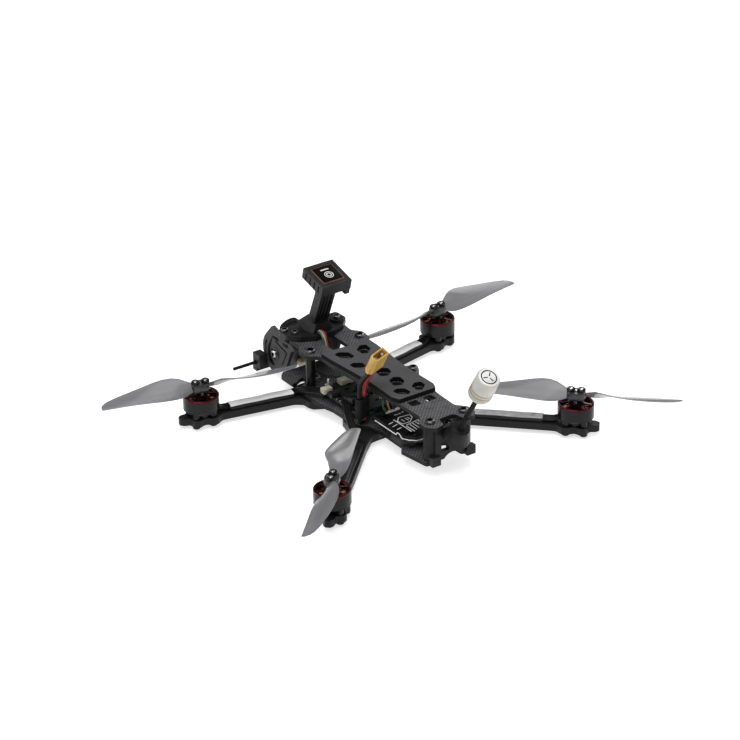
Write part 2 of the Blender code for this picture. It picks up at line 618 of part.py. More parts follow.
def build_flight_controller():
    """Four-in-one speed controller and flight controller, as one board with its chips and sockets."""
    half = [(12.6, -34.2, 1), (16.2, -30.6, 1), (16.2, -5.4, 1), (12.6, -1.8, 1)]
    holes = [circle(x, y, 1.9, 12) for x, y in STACK_HOLES]
    loops = [rounded(both_sides(half), 1)] + holes
    board = plate("flight_controller_board", loops, BOARD_Z, BOARD_T, "board")
    top = BOARD_Z + BOARD_T
    for width, depth, height, x, y in [(9, 9, 1.2, -2, -19), (4, 14, 1.2, -11.5, -18), (7, 4.2, 3.2, 3, -31),
                                       (7.2, 9.0, 3.6, 16.3, -24), (5, 4, 2.0, -3, -6.2)]:
        chip = bmesh.new()
        add_box(chip, (width, depth, height + 0.3), (x, y, top + height / 2 - 0.15))
        combine(board, chip, "UNION")


def build_video_transmitter():
    half = [(14.6, 8.4, 1), (14.6, 33.4, 1.5), (10.2, 38.4, 1.5)]
    holes = [circle(x, y, 1.0 + GAP, 10) for x, y in VTX_HOLES]
    plate("video_transmitter_board", [rounded(both_sides(half))] + holes, VTX_Z, VTX_T, "black_board")
    inner = [(14.2, 9.0, 1), (14.2, 33.2, 1.5), (10.0, 37.9, 1.5)]
    wells = [circle(x, y, 2.3, 10) for x, y in VTX_HOLES]
    plate("video_transmitter_cover", [rounded(both_sides(inner))] + wells, VTX_Z + VTX_T + GAP, 1.5, "chip")


def build_lead():
    """The battery lead: two silicone wires held to the stack by a sleeve, up to a connector."""
    outline = [(13.0, -1.4, 1.8), (19.9, 0.9, 1.8), (18.9, 5.4, 1.8), (12.0, 3.1, 1.8)]
    sleeve = plate("lead_sleeve", [rounded(outline)], BOARD_Z + BOARD_T + GAP, SLEEVE_HEIGHT, "rubber")
    foot = bmesh.new()
    add_box(foot, (3.3, 5.2, 2.6), (14.3, -1.6, BOARD_Z + BOARD_T + GAP + 1.5))
    combine(sleeve, foot, "UNION")
    bores = bmesh.new()
    for x, y in (RED_ROUTE[0][:2], BLACK_ROUTE[0][:2]):
        add_cylinder(bores, 1.5, 10, 24, (x, y), 14)
    combine(sleeve, bores)
    wires("battery_lead_red", [RED_ROUTE], 1.2, "red_wire", 3.0)
    wires("battery_lead_black", [BLACK_ROUTE], 1.2, "black_wire", 3.0)
    place = connector_matrix()
    outline = [(-4.8, -2.2, 0.6), (4.8, -2.2, 1.6), (4.8, 2.2, 1.6), (-4.8, 2.2, 0.6)]
    mesh = plate_mesh("battery_connector", [rounded(outline)], 0, CONNECTOR_LENGTH)
    mesh.transform(Matrix.Translation(CONNECTOR_FOOT * MM) @ place.to_3x3().to_4x4())
    shell = add_object("battery_connector", mesh, "xt30")
    cuts = bmesh.new()
    add_box(cuts, (7.8, 3.0, 10.0), (0, 0, CONNECTOR_LENGTH + 0.2), place)
    for side in (-1, 1):
        add_cylinder(cuts, 1.5, -1.0, 4.2, (side * CONTACT_X, 0), 14, matrix=place)
    combine(shell, cuts)


CONNECTOR_FOOT = Vector((14.2, 8.9, 39.55))
CONNECTOR_LEAN, CONNECTOR_ROLL = math.radians(30), math.radians(16)
CONNECTOR_LENGTH = 11.0
CONTACT_X = 2.4                 # the two contacts, either side of the connector's middle
SLEEVE_HEIGHT = 10.0
RED_ROUTE = [(14.5, 1.4, 9.6), (14.5, 1.4, 15.0), (14.5, 1.4, 22.4), (14.2, 1.2, 25.0), (13.6, 1.5, 28.0),
             (13.1, 2.6, 31.0), (12.6, 4.6, 34.3), (11.9, 7.1, 37.75), (11.9, 8.33, 39.88),
             (11.9, 10.03, 42.83)]
BLACK_ROUTE = [(17.5, 2.3, 9.6), (17.5, 2.3, 15.0), (17.5, 2.3, 22.4), (17.35, 2.0, 25.0), (17.1, 2.2, 28.0),
               (16.9, 3.3, 31.0), (16.7, 5.6, 34.2), (16.5, 8.24, 37.1), (16.5, 9.47, 39.22),
               (16.5, 11.17, 42.17)]


def connector_matrix():
    """+Z runs up the connector from the end its wires enter; +X points at its port contact."""
    lean = Matrix.Rotation(-CONNECTOR_LEAN, 4, "X")
    return Matrix.Translation(CONNECTOR_FOOT) @ lean @ Matrix.Rotation(CONNECTOR_ROLL, 4, "Z")


# ---------------------------------------------------------------- motors

def build_motor_base(name, hub, side_y, mirror):
    """A disc with four screw lugs, under a bearing tube; open right through for the shaft."""
    foot = ARM_TOP + GAP
    base = turned("motor_base_" + name, [(1.75, 13.6), (2.6, 13.6), (2.6, foot + 1.9), (5.4, foot + 1.3),
                                         (5.4, foot), (1.75, foot)], "black_metal", 16, hub)
    lugs = bmesh.new()
    bores = bmesh.new()
    for x, y in motor_screw_places(side_y):
        place = (mirror * (x - MOTOR_X), y - side_y * MOTOR_Y)
        add_cylinder(lugs, 1.9, foot, foot + 2.6, place, 10)
        add_cylinder(bores, 1.0 + GAP, foot - 1, foot + 2.0, place, 8)
    add_parented(base, lugs, "UNION")
    add_parented(base, bores, "DIFFERENCE")


def stator_mesh():
    """Nine wound poles round the bearing tube."""
    teeth = []
    for k in range(9):
        for turn, radius in ((-14, 3.9), (-15, 5.2), (-16, 7.1), (16, 7.1), (15, 5.2), (14, 3.9)):
            a = math.radians(40 * k + turn)
            teeth.append(Vector((radius * math.cos(a), radius * math.sin(a))))
    return plate_mesh("stator", [teeth, circle(0, 0, 2.6 + GAP, 18)], 9.2, 4.2)


def sector(inner, outer, start, finish, steps=3):
    angles = [start + (finish - start) * i / steps for i in range(steps + 1)]
    there = [Vector((outer * math.cos(a), outer * math.sin(a))) for a in angles]
    back = [Vector((inner * math.cos(a), inner * math.sin(a))) for a in reversed(angles)]
    return there + back


def bell_top_mesh():
    """The spoked crown of a motor bell."""
    windows = [sector(4.6, 7.3, TURN * k / 6 + 0.14, TURN * (k + 1) / 6 - 0.14) for k in range(6)]
    return plate_mesh("bell_crown", [circle(0, 0, BELL_RADIUS, 28)] + windows, RIM_Z - 1.2, 1.2)


def blade_section(radius, chord, side):
    """An aerofoil section across the blade at one radius, as (x, y, z) points."""
    twist = math.atan2(PROP_PITCH, TURN * max(radius, 9.0))
    thickness = 0.16 * chord if radius < 8 else max(0.9, 0.09 * chord)
    shape = [(-0.50, 0.0), (-0.25, 0.42), (0.10, 0.50), (0.50, 0.06), (0.50, -0.10), (0.10, -0.28),
             (-0.25, -0.34)]
    sweep = 0.10 * chord
    points = []
    for along, across in shape:
        across_blade = along * chord + sweep
        height = across * thickness
        y = across_blade * math.cos(twist) + height * math.sin(twist)
        z = -across_blade * math.sin(twist) + height * math.cos(twist)
        points.append((radius, side * y, z))
    return points


def propeller_mesh(side):
    """Two twisted blades lofted between sections, on a flat-sided hub; side 1 turns clockwise."""
    stations = [(2.6, 4.2), (5.5, 6.4), (9.5, 10.2), (14.0, 12.2), (19.0, 12.4), (26.0, 11.0), (34.0, 9.0),
                (42.0, 7.2), (47.0, 6.0), (49.3, 4.6), (PROP_RADIUS, 3.0)]
    middle = HUB_Z + 0.55 * HUB_HEIGHT
    bm = bmesh.new()
    for end in (1, -1):
        rings = []
        for radius, chord in stations:
            section = blade_section(radius, chord, side)
            rings.append([bm.verts.new((end * x, end * y, z + middle)) for x, y, z in section])
        count = len(rings[0])
        for a, b in zip(rings, rings[1:]):
            for i in range(count):
                j = (i + 1) % count
                bm.faces.new((a[i], a[j], b[j], b[i]))
        bm.faces.new(rings[0])
        bm.faces.new(list(reversed(rings[-1])))
    return mesh_from(bm, "propeller", 50)


def build_motors():
    """Each motor's fixed base and stator, and the bell, crown with shaft and propeller that turn."""
    for name, (side_x, side_y) in CORNERS.items():
        axis = (side_x * MOTOR_X, side_y * MOTOR_Y, 0)
        build_motor_base(name, axis, side_y, side_x)
        add_object("motor_stator_" + name, stator_mesh(), "copper", axis)
        heading = (0, 0, math.radians(BLADE_ANGLES[name]))
        clockwise = 1 if side_x * side_y < 0 else -1
        rim = RIM_Z - 1.2 - 0.1
        wall = [(BELL_RADIUS - 0.9, rim), (BELL_RADIUS - 0.15, rim), (BELL_RADIUS, rim - 0.3),
                (BELL_RADIUS, BELL_Z + 0.3), (BELL_RADIUS - 0.2, BELL_Z), (BELL_RADIUS - 0.9, BELL_Z)]
        turned("motor_bell_" + name, wall, "black_metal", 28, axis, heading)
        crown = add_object("motor_crown_" + name, bell_top_mesh(), "wine", axis, heading)
        boss = bmesh.new()
        add_cylinder(boss, 4.3, RIM_Z - 0.8, HUB_Z - 0.15, sides=16, top_radius=3.9)
        add_parented(crown, boss, "UNION")
        shaft = bmesh.new()
        add_cylinder(shaft, 0.75, 6.0, HUB_TOP - 0.2, sides=12)
        add_parented(crown, shaft, "UNION")
        holes = bmesh.new()
        for x in (-2.5, 2.5):
            add_cylinder(holes, 1.0 + 0.2, 13.8, 19, (x, 0), 10)
        add_parented(crown, holes, "DIFFERENCE")
        blades = add_object("propeller_" + name, propeller_mesh(clockwise), "smoke", axis, heading)
        outline = [(-4.6, -3.1, 1.8), (4.6, -3.1, 1.8), (4.6, 3.1, 1.8), (-4.6, 3.1, 1.8)]
        hub = plate_mesh("hub", [rounded(outline)], HUB_Z, HUB_HEIGHT)
        bm = bmesh.new()
        bm.from_mesh(hub)
        bmesh.ops.scale(bm, vec=(1 / MM, 1 / MM, 1 / MM), verts=bm.verts)
        add_parented(blades, bm, "UNION")
        bores = bmesh.new()
        for x in (-2.5, 2.5):
            add_cylinder(bores, 1.0 + 0.2, HUB_Z - 2, HUB_TOP + 2, (x, 0), 10)
        add_cylinder(bores, 0.75 + 0.2, HUB_Z - 2, HUB_TOP + 2, sides=10)
        add_parented(blades, bores, "DIFFERENCE")


def add_parented(piece, bm, operation):
    """A Boolean whose cutter sits in the piece's own space."""
    combine(piece, bm, operation)
    cutter = piece.modifiers[-1].object
    cutter.location = piece.location
    cutter.rotation_euler = piece.rotation_euler


def build_arm_wiring():
    """Three motor wires side by side on each arm, under a flat wrap: one low strip with a raised back."""
    for name, (side_x, side_y) in CORNERS.items():
        reach = 46.0 if side_y < 0 else 58.0
        bm = bmesh.new()
        add_box(bm, (reach - 11.5, 5.0, 1.5), (-(reach + 11.5) / 2, 0, ARM_TOP + GAP + 0.75))
        strip = add_object("motor_wires_" + name, mesh_from(bm, "motor_wires"), "wrap",
                           (side_x * MOTOR_X, side_y * MOTOR_Y, 0),
                           (0, 0, ARM_HEADING[side_y] if side_x > 0 else math.pi - ARM_HEADING[side_y]))
        back = bmesh.new()
        add_box(back, (reach - 15.5, 5.8, 0.8), (-(reach + 15.5) / 2, 0, ARM_TOP + GAP + 1.5))
        add_parented(strip, back, "UNION")


build_clamp_plate()
build_arms()
build_main_plate()
build_top_plate()
build_battery_pad()
build_standoffs()
build_side_plates()
build_camera()
build_front_antennas()
build_gps_mount()
build_rear_mount()
build_video_antenna()
build_flight_controller()
build_video_transmitter()
build_lead()
build_motors()
build_arm_wiring()
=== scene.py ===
"""The looks of a small quadcopter drone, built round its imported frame.

The frame's axes: +X is port, -Y is forward, +Z is up, and the origin is the middle of the belly.
Lengths below are in millimetres; MM turns them into metres.
"""
import json
import math
import random

import bmesh
import bpy
from mathutils import Matrix, Vector


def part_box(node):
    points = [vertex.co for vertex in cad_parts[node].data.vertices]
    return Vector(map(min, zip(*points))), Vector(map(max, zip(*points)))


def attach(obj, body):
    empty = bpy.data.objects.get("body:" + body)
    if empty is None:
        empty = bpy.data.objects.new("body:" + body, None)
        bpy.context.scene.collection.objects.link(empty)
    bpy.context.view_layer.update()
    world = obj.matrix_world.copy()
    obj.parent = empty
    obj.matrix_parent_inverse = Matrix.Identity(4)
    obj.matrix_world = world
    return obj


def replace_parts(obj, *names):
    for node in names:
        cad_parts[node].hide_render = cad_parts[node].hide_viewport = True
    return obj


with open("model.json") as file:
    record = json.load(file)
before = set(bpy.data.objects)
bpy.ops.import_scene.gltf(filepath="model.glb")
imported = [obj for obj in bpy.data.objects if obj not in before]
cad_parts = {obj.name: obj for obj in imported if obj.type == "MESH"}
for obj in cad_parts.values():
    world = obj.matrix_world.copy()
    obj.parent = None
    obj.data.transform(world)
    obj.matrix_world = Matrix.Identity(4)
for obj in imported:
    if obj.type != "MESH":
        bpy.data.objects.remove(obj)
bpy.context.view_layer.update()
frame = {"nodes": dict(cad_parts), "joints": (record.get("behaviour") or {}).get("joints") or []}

MM = 0.001
TURN = 2 * math.pi
GAP = 0.25                                  # the clearance the frame keeps between touching pieces
CORNERS = {"front_port": (1, -1), "front_starboard": (-1, -1), "rear_port": (1, 1),
           "rear_starboard": (-1, 1)}
BLADE_ANGLES = {"front_port": -12.5, "front_starboard": 187.0, "rear_port": 45.0,
                "rear_starboard": 134.5}
ARM_HEADING = {-1: math.radians(-11.6), 1: math.radians(44.6)}      # front arms, then rear arms
FRAME = "airframe"
BOARD_THICK = 1.6
CROWN_RISE = 1.3                            # from the bell's top to the crown's rim
HUB_RISE, HUB_HEIGHT = 2.1, 3.9
PROP_SCREW_REACH = 2.5                      # from the shaft to each propeller screw
PROP_PITCH = 61.0                           # advance per turn, which sets the blade's twist
BLADE_POINTS = 24                           # points round each blade section
MOTOR_SCREW_REACH = 6
WRAP_STEPS = 28                             # steps along each arm's wrap
LOOSE_PARTS = 46                            # small parts scattered on the flight controller
CAMERA_REST = math.radians(30)
MAST_TILT = math.radians(-15)
ANTENNA_LEAN = math.radians(-31)
PLUG_LEAN, PLUG_TWIST = math.radians(-30), math.radians(16)
FLOOR_SIZE = 8.0                            # metres


def node_box(name):
    """A node's lowest and highest corners in millimetres."""
    low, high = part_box(name)
    return Vector(low) / MM, Vector(high) / MM


def axis_of(joint_name):
    """A joint's position in millimetres."""
    for joint in frame["joints"]:
        if joint["name"] == joint_name:
            return Vector(joint["pos_m"]) / MM
    raise ValueError(joint_name)


# ---------------------------------------------------------------- levels and places from the frame

ARM_TOP = node_box("arm_front_port")[1].z
MAIN_TOP = node_box("main_plate")[1].z
TOP_TOP = node_box("top_plate")[1].z
BELL_LOW = node_box("motor_bell_front_port")[0].z
BELL_RADIUS = (node_box("motor_bell_front_port")[1].x - node_box("motor_bell_front_port")[0].x) / 2
RIM_Z = node_box("motor_bell_front_port")[1].z + CROWN_RISE
HUB_Z = RIM_Z + HUB_RISE
HUB_TOP = HUB_Z + HUB_HEIGHT
BOARD_TOP = node_box("flight_controller_board")[0].z + BOARD_THICK
HUBS = {name: axis_of("rotor_spin_" + name) for name in CORNERS}
PIVOT = axis_of("camera_tilt")
POSTS = {}
for post in ("front_port", "front_starboard", "rear_port", "rear_starboard", "side"):
    post_low, post_high = node_box("standoff_" + post)
    POSTS[post] = (post_low + post_high) / 2


# ---------------------------------------------------------------- camera, at the photograph's view

CAMERA_AZIMUTH = math.radians(145.68)
CAMERA_ELEVATION = math.radians(27.41)
CAMERA_ROLL = math.radians(-0.86)
CAMERA_DISTANCE, CAMERA_RIGHT, CAMERA_UP, CAMERA_AIM_Z = 1400.9, -8.30, 13.19, 15.85


def build_camera():
    back = Vector((math.sin(CAMERA_AZIMUTH) * math.cos(CAMERA_ELEVATION),
                   -math.cos(CAMERA_AZIMUTH) * math.cos(CAMERA_ELEVATION),
                   math.sin(CAMERA_ELEVATION)))
    level = Vector((0, 0, 1)).cross(back).normalized()
    upright = back.cross(level)
    right = math.cos(CAMERA_ROLL) * level + math.sin(CAMERA_ROLL) * upright
    up = math.cos(CAMERA_ROLL) * upright - math.sin(CAMERA_ROLL) * level
    data = bpy.data.cameras.new("camera")
    data.lens = 144
    data.sensor_width = 36
    data.clip_end = 10
    camera = bpy.data.objects.new("camera", data)
    place = (Vector((0, 0, CAMERA_AIM_Z)) + back * CAMERA_DISTANCE + right * CAMERA_RIGHT
             + up * CAMERA_UP) * MM
    turn = Matrix((right, up, back)).transposed().to_4x4()
    camera.matrix_world = Matrix.Translation(place) @ turn
    bpy.context.scene.collection.objects.link(camera)
    bpy.context.scene.camera = camera


# ---------------------------------------------------------------- materials

def rgba(colour):
    """A colour is (red, green, blue), or one number for a grey."""
    return (colour, colour, colour, 1) if isinstance(colour, float) else (*colour, 1)


class Paint:
    """A material under construction: a Principled shader and the nodes that feed it."""

    def __init__(self, name, colour, roughness, metallic=0.0, **sockets):
        self.material = bpy.data.materials.new(name)
        self.material.use_nodes = True
        self.tree = self.material.node_tree
        self.shader = self.tree.nodes["Principled BSDF"]
        self.shader.inputs["Base Color"].default_value = rgba(colour)
        self.shader.inputs["Roughness"].default_value = roughness
        self.shader.inputs["Metallic"].default_value = metallic
        for key, value in sockets.items():
            self.shader.inputs[key.replace("_", " ")].default_value = value
        self.place = self.node("ShaderNodeTexCoord").outputs["Object"]

    def node(self, kind, inputs=(), **settings):
        """Adds a node; inputs pairs a socket's name or number with a value or another's output."""
        made = self.tree.nodes.new(kind)
        for key, value in settings.items():
            setattr(made, key, value)
        for key, value in inputs:
            if isinstance(value, bpy.types.NodeSocket):
                self.tree.links.new(value, made.inputs[key])
            else:
                made.inputs[key].default_value = value
        return made

    def sum(self, operation, a, b=0.0, c=0.0):
        return self.node("ShaderNodeMath", [(0, a), (1, b), (2, c)], operation=operation).outputs[0]

    def xyz(self, source=None):
        return self.node("ShaderNodeSeparateXYZ", [(0, source or self.place)]).outputs

    def noise(self, scale, detail=3.0, stretch=None):
        place = self.place
        if stretch:
            place = self.node("ShaderNodeVectorMath", [(0, place), (1, stretch)],
                              operation="MULTIPLY").outputs[0]
        made = self.node("ShaderNodeTexNoise",
                         [("Vector", place), ("Scale", scale), ("Detail", detail)])
        return made.outputs["Fac"]

    def spread(self, value, low, high, out_low, out_high):
        made = self.node("ShaderNodeMapRange",
                         [("Value", value), ("From Min", low), ("From Max", high),
                                                ("To Min", out_low), ("To Max", out_high)])
        return made.outputs[0]

    def clouds(self, scale, detail, out_low, out_high):
        """Noise whose middle range is stretched to run from out_low to out_high."""
        return self.spread(self.noise(scale, detail), 0.3, 0.7, out_low, out_high)

    def mix(self, factor, first, second):
        made = self.node("ShaderNodeMix", [("Factor", factor)], data_type="RGBA")
        for socket, value in ((6, first), (7, second)):
            if isinstance(value, bpy.types.NodeSocket):
                self.tree.links.new(value, made.inputs[socket])
            else:
                made.inputs[socket].default_value = rgba(value)
        return made.outputs[2]

    def facing_up(self):
        """1 on faces that look up or down, 0 on the sides."""
        normal = self.node("ShaderNodeNewGeometry").outputs["Normal"]
        upward = self.sum("ABSOLUTE", self.xyz(normal)[2])
        return self.spread(upward, 0.55, 0.75, 0.0, 1.0)

    def colour(self, value):
        self.tree.links.new(value, self.shader.inputs["Base Color"])

    def rough(self, value):
        self.tree.links.new(value, self.shader.inputs["Roughness"])

    def bump(self, height, depth, strength=1.0):
        """Bumps of that depth in millimetres where height goes from 0 to 1."""
        made = self.node("ShaderNodeBump",
                         [("Height", height), ("Distance", depth * MM), ("Strength", strength)])
        self.tree.links.new(made.outputs[0], self.shader.inputs["Normal"])


def weave(paint, pitch):
    """A plain weave: (1 where the lengthwise tow is on top, height of the tow under each point)."""
    x, y, _ = paint.xyz()
    u = paint.sum("DIVIDE", x, pitch * MM)
    v = paint.sum("DIVIDE", y, pitch * MM)
    step = paint.sum("ADD", paint.sum("FLOOR", u), paint.sum("FLOOR", v))
    over = paint.sum("LESS_THAN", paint.sum("FLOORED_MODULO", step, 2.0), 1.0)
    crown_u = paint.sum("SINE", paint.sum("MULTIPLY", paint.sum("FRACT", u), math.pi))
    crown_v = paint.sum("SINE", paint.sum("MULTIPLY", paint.sum("FRACT", v), math.pi))
    height = paint.node("ShaderNodeMix", [("Factor", over), (2, crown_v), (3, crown_u)]).outputs[0]
    return over, height


def carbon(name, dark, light, roughness, pitch=1.0):
    """Carbon laminate: woven faces under thin matt resin, with a painted sheen that lightens the
    tows lying on top and the crown of each tow, and darker machined edges with ply lines.
    """
    paint = Paint(name, dark, roughness, Specular_IOR_Level=0.14)
    over, height = weave(paint, pitch)
    # Painted sheen: tows lying on top and the crown of each tow are painted lighter.
    painted_sheen = paint.sum("MULTIPLY_ADD", over, 0.65, paint.spread(height, 0, 1, 0.0, 0.35))
    sheen_and_mottling = paint.sum("MULTIPLY", painted_sheen, paint.clouds(260, 4, 0.65, 1.15))
    face = paint.mix(sheen_and_mottling, dark, light)
    plies = paint.sum("SINE", paint.sum("MULTIPLY", paint.xyz()[2], TURN / (0.5 * MM)))
    edge = paint.mix(paint.spread(plies, -1, 1, 0, 1), (0.006, 0.006, 0.007), (0.018, 0.018, 0.019))
    up = paint.facing_up()
    paint.colour(paint.mix(up, edge, face))
    paint.rough(paint.sum("ADD", paint.clouds(900, 2, roughness - 0.06, roughness + 0.10),
                          paint.sum("MULTIPLY", over, 0.08)))
    paint.bump(paint.sum("MULTIPLY", height, up), 0.05, 0.8)
    return paint.material


def printed(name, dark, light, roughness, layer=0.28):
    """Printed flexible plastic: fine level layers, a faint sheen and slightly uneven colour."""
    paint = Paint(name, dark, roughness, Specular_IOR_Level=0.16)
    layers = paint.sum("SINE", paint.sum("MULTIPLY", paint.xyz()[2], TURN / (layer * MM)))
    cloud = paint.noise(140, 4)
    paint.colour(paint.mix(paint.spread(cloud, 0.3, 0.7, 0, 1), dark, light))
    paint.rough(paint.clouds(700, 3, roughness - 0.1, roughness + 0.1))
    paint.bump(paint.sum("ADD", paint.spread(layers, -1, 1, 0, 0.7), paint.noise(2500, 2)), 0.02,
               0.7)
    return paint.material


def metal(name, dark, light, roughness, grain=2200, stretch=(1, 1, 0.1), metallic=1.0, **sockets):
    """Machined metal: fine turning marks and a little colour variation."""
    paint = Paint(name, dark, roughness, metallic, **sockets)
    marks = paint.noise(grain, 2, stretch)
    paint.colour(paint.mix(paint.clouds(120, 3, 0, 1), dark, light))
    paint.rough(paint.spread(marks, 0.3, 0.7, roughness * 0.75, roughness * 1.3))
    paint.bump(marks, 0.006, 0.5)
    return paint.material


def plastic(name, dark, light, roughness, grain=1500, depth=0.01, cloud=150, **sockets):
    """Moulded plastic or rubber: fine grain, slight clouds of colour."""
    paint = Paint(name, dark, roughness, **sockets)
    paint.colour(paint.mix(paint.clouds(cloud, 4, 0, 1), dark, light))
    paint.rough(paint.clouds(grain, 3, roughness * 0.8, min(1, roughness * 1.2)))
    paint.bump(paint.noise(grain, 3), depth, 0.6)
    return paint.material


def cap_plastic(name):
    """Milky antenna plastic: the coil shows through its lower third as soft yellow-brown bands."""
    paint = Paint(name, (0.55, 0.55, 0.52), 0.32, Specular_IOR_Level=0.4, Subsurface_Weight=0.15,
                  Subsurface_Scale=0.002)
    axis = antenna_space().to_3x3() @ Vector((0, 0, 1))
    foot = antenna_space().translation.dot(axis)
    along = paint.node("ShaderNodeVectorMath", [(0, paint.place), (1, tuple(axis))],
                       operation="DOT_PRODUCT")
    height = paint.sum("SUBTRACT", paint.sum("DIVIDE", along.outputs["Value"], MM), foot)
    coil = paint.sum("MULTIPLY", paint.spread(height, 28.2, 29.6, 0, 1),
                     paint.spread(height, 34.0, 32.4, 0, 1))
    turns = paint.spread(paint.sum("SINE", paint.sum("MULTIPLY", height, TURN / 2.0)), -1, 1, 0.15,
                         0.9)
    plain = paint.mix(paint.clouds(80, 3, 0, 1), (0.38, 0.38, 0.34), (0.48, 0.48, 0.44))
    paint.colour(paint.mix(paint.sum("MULTIPLY", coil, turns), plain, (0.24, 0.17, 0.07)))
    paint.rough(paint.clouds(700, 2, 0.26, 0.4))
    paint.bump(paint.noise(700, 2), 0.002, 0.5)
    return paint.material


def foam(name):
    """The battery pad's soft matt rubber, with fine pores; the pores are painted a little darker
    and the sides near black, as painted shade.
    """
    paint = Paint(name, (0.06, 0.06, 0.062), 0.85, Specular_IOR_Level=0.15)
    pores = paint.node("ShaderNodeTexVoronoi",
                       [("Vector", paint.place), ("Scale", 1400)]).outputs["Distance"]
    # The pores pull the tone a little darker: painted shade in them.
    tone = paint.sum("MULTIPLY_ADD", paint.noise(90, 5), 0.6, paint.sum("MULTIPLY", pores, 0.5))
    rubber = paint.mix(paint.spread(tone, 0.2, 0.8, 0, 1), (0.048, 0.048, 0.050),
                       (0.070, 0.070, 0.073))
    # Painted shade: the sides are near black instead of the rubber's colour.
    paint.colour(paint.mix(paint.facing_up(), 0.004, rubber))
    paint.rough(paint.clouds(1200, 3, 0.75, 0.95))
    paint.bump(pores, 0.04, 0.6)
    return paint.material


def smoked(name):
    """Smoky clear propeller plastic, a touch frosted, with faint flow lines along the blade."""
    paint = Paint(name, (0.24, 0.24, 0.25), 0.22, Transmission_Weight=0.4, IOR=1.46,
                  Specular_IOR_Level=0.25)
    flow = paint.noise(60, 3, (0.3, 2.5, 2.5))
    paint.colour(paint.mix(paint.spread(flow, 0.3, 0.7, 0, 1), (0.17, 0.17, 0.18),
                           (0.27, 0.27, 0.28)))
    paint.rough(paint.clouds(500, 3, 0.12, 0.24))
    paint.bump(paint.noise(900, 2), 0.006, 0.4)
    return paint.material


def wrap_film(name, dull, bright):
    """The wrap over the motor wires, a dark glossy film: the given tone on top, which on the white
    and grey wraps is a painted reflection, dark down its sides, with fine wrinkles.
    """
    paint = Paint(name, bright, 0.3, Specular_IOR_Level=0.35)
    wrinkle = paint.noise(320, 4, (1, 1, 0.3))
    # Painted reflection: on the white and grey wraps the top tone, varied by the wrinkles, stands
    # in for the light the film reflects; the dark sides are the film's own colour.
    top = paint.mix(paint.spread(wrinkle, 0.3, 0.7, 0, 1), dull, bright)
    paint.colour(paint.mix(paint.facing_up(), 0.006, top))
    paint.rough(paint.spread(wrinkle, 0.3, 0.7, 0.25, 0.42))
    paint.bump(wrinkle, 0.05, 0.5)
    return paint.material


def circuit(name, mask, light, copper=(0.16, 0.12, 0.05)):
    """A circuit board: solder mask over faint tracks, with scattered plated holes."""
    paint = Paint(name, mask, 0.38, Specular_IOR_Level=0.25)
    tracks = paint.node("ShaderNodeTexBrick",
                        [("Vector", paint.place), ("Scale", 420), ("Mortar Size", 0.02)])
    lines = paint.sum("SUBTRACT", 1.0, tracks.outputs["Fac"])
    holes = paint.node("ShaderNodeTexVoronoi",
                       [("Vector", paint.place), ("Scale", 420)]).outputs["Distance"]
    pad = paint.sum("LESS_THAN", holes, 0.12)
    ground = paint.mix(paint.sum("MULTIPLY", lines, 0.5), light, mask)
    paint.colour(paint.mix(pad, ground, copper))
    paint.rough(paint.clouds(600, 2, 0.3, 0.5))
    paint.bump(lines, 0.02, 0.5)
    return paint.material


def windings(name):
    """Enamelled copper wire, wound level round each pole, with painted shade in the gaps between
    the turns.
    """
    paint = Paint(name, (0.45, 0.17, 0.06), 0.3, 0.9, Coat_Weight=0.4, Coat_Roughness=0.15)
    turns = paint.sum("SINE", paint.sum("MULTIPLY", paint.xyz()[2], TURN / (0.42 * MM)))
    # Painted shade: the colour runs dark in the gaps between turns and copper-bright on each turn.
    tone = paint.mix(paint.spread(turns, -1, 1, 0, 1), (0.14, 0.045, 0.015), (0.55, 0.22, 0.08))
    paint.colour(tone)
    paint.rough(paint.clouds(900, 2, 0.25, 0.4))
    paint.bump(paint.spread(turns, -1, 1, 0, 1), 0.1, 0.8)
    return paint.material


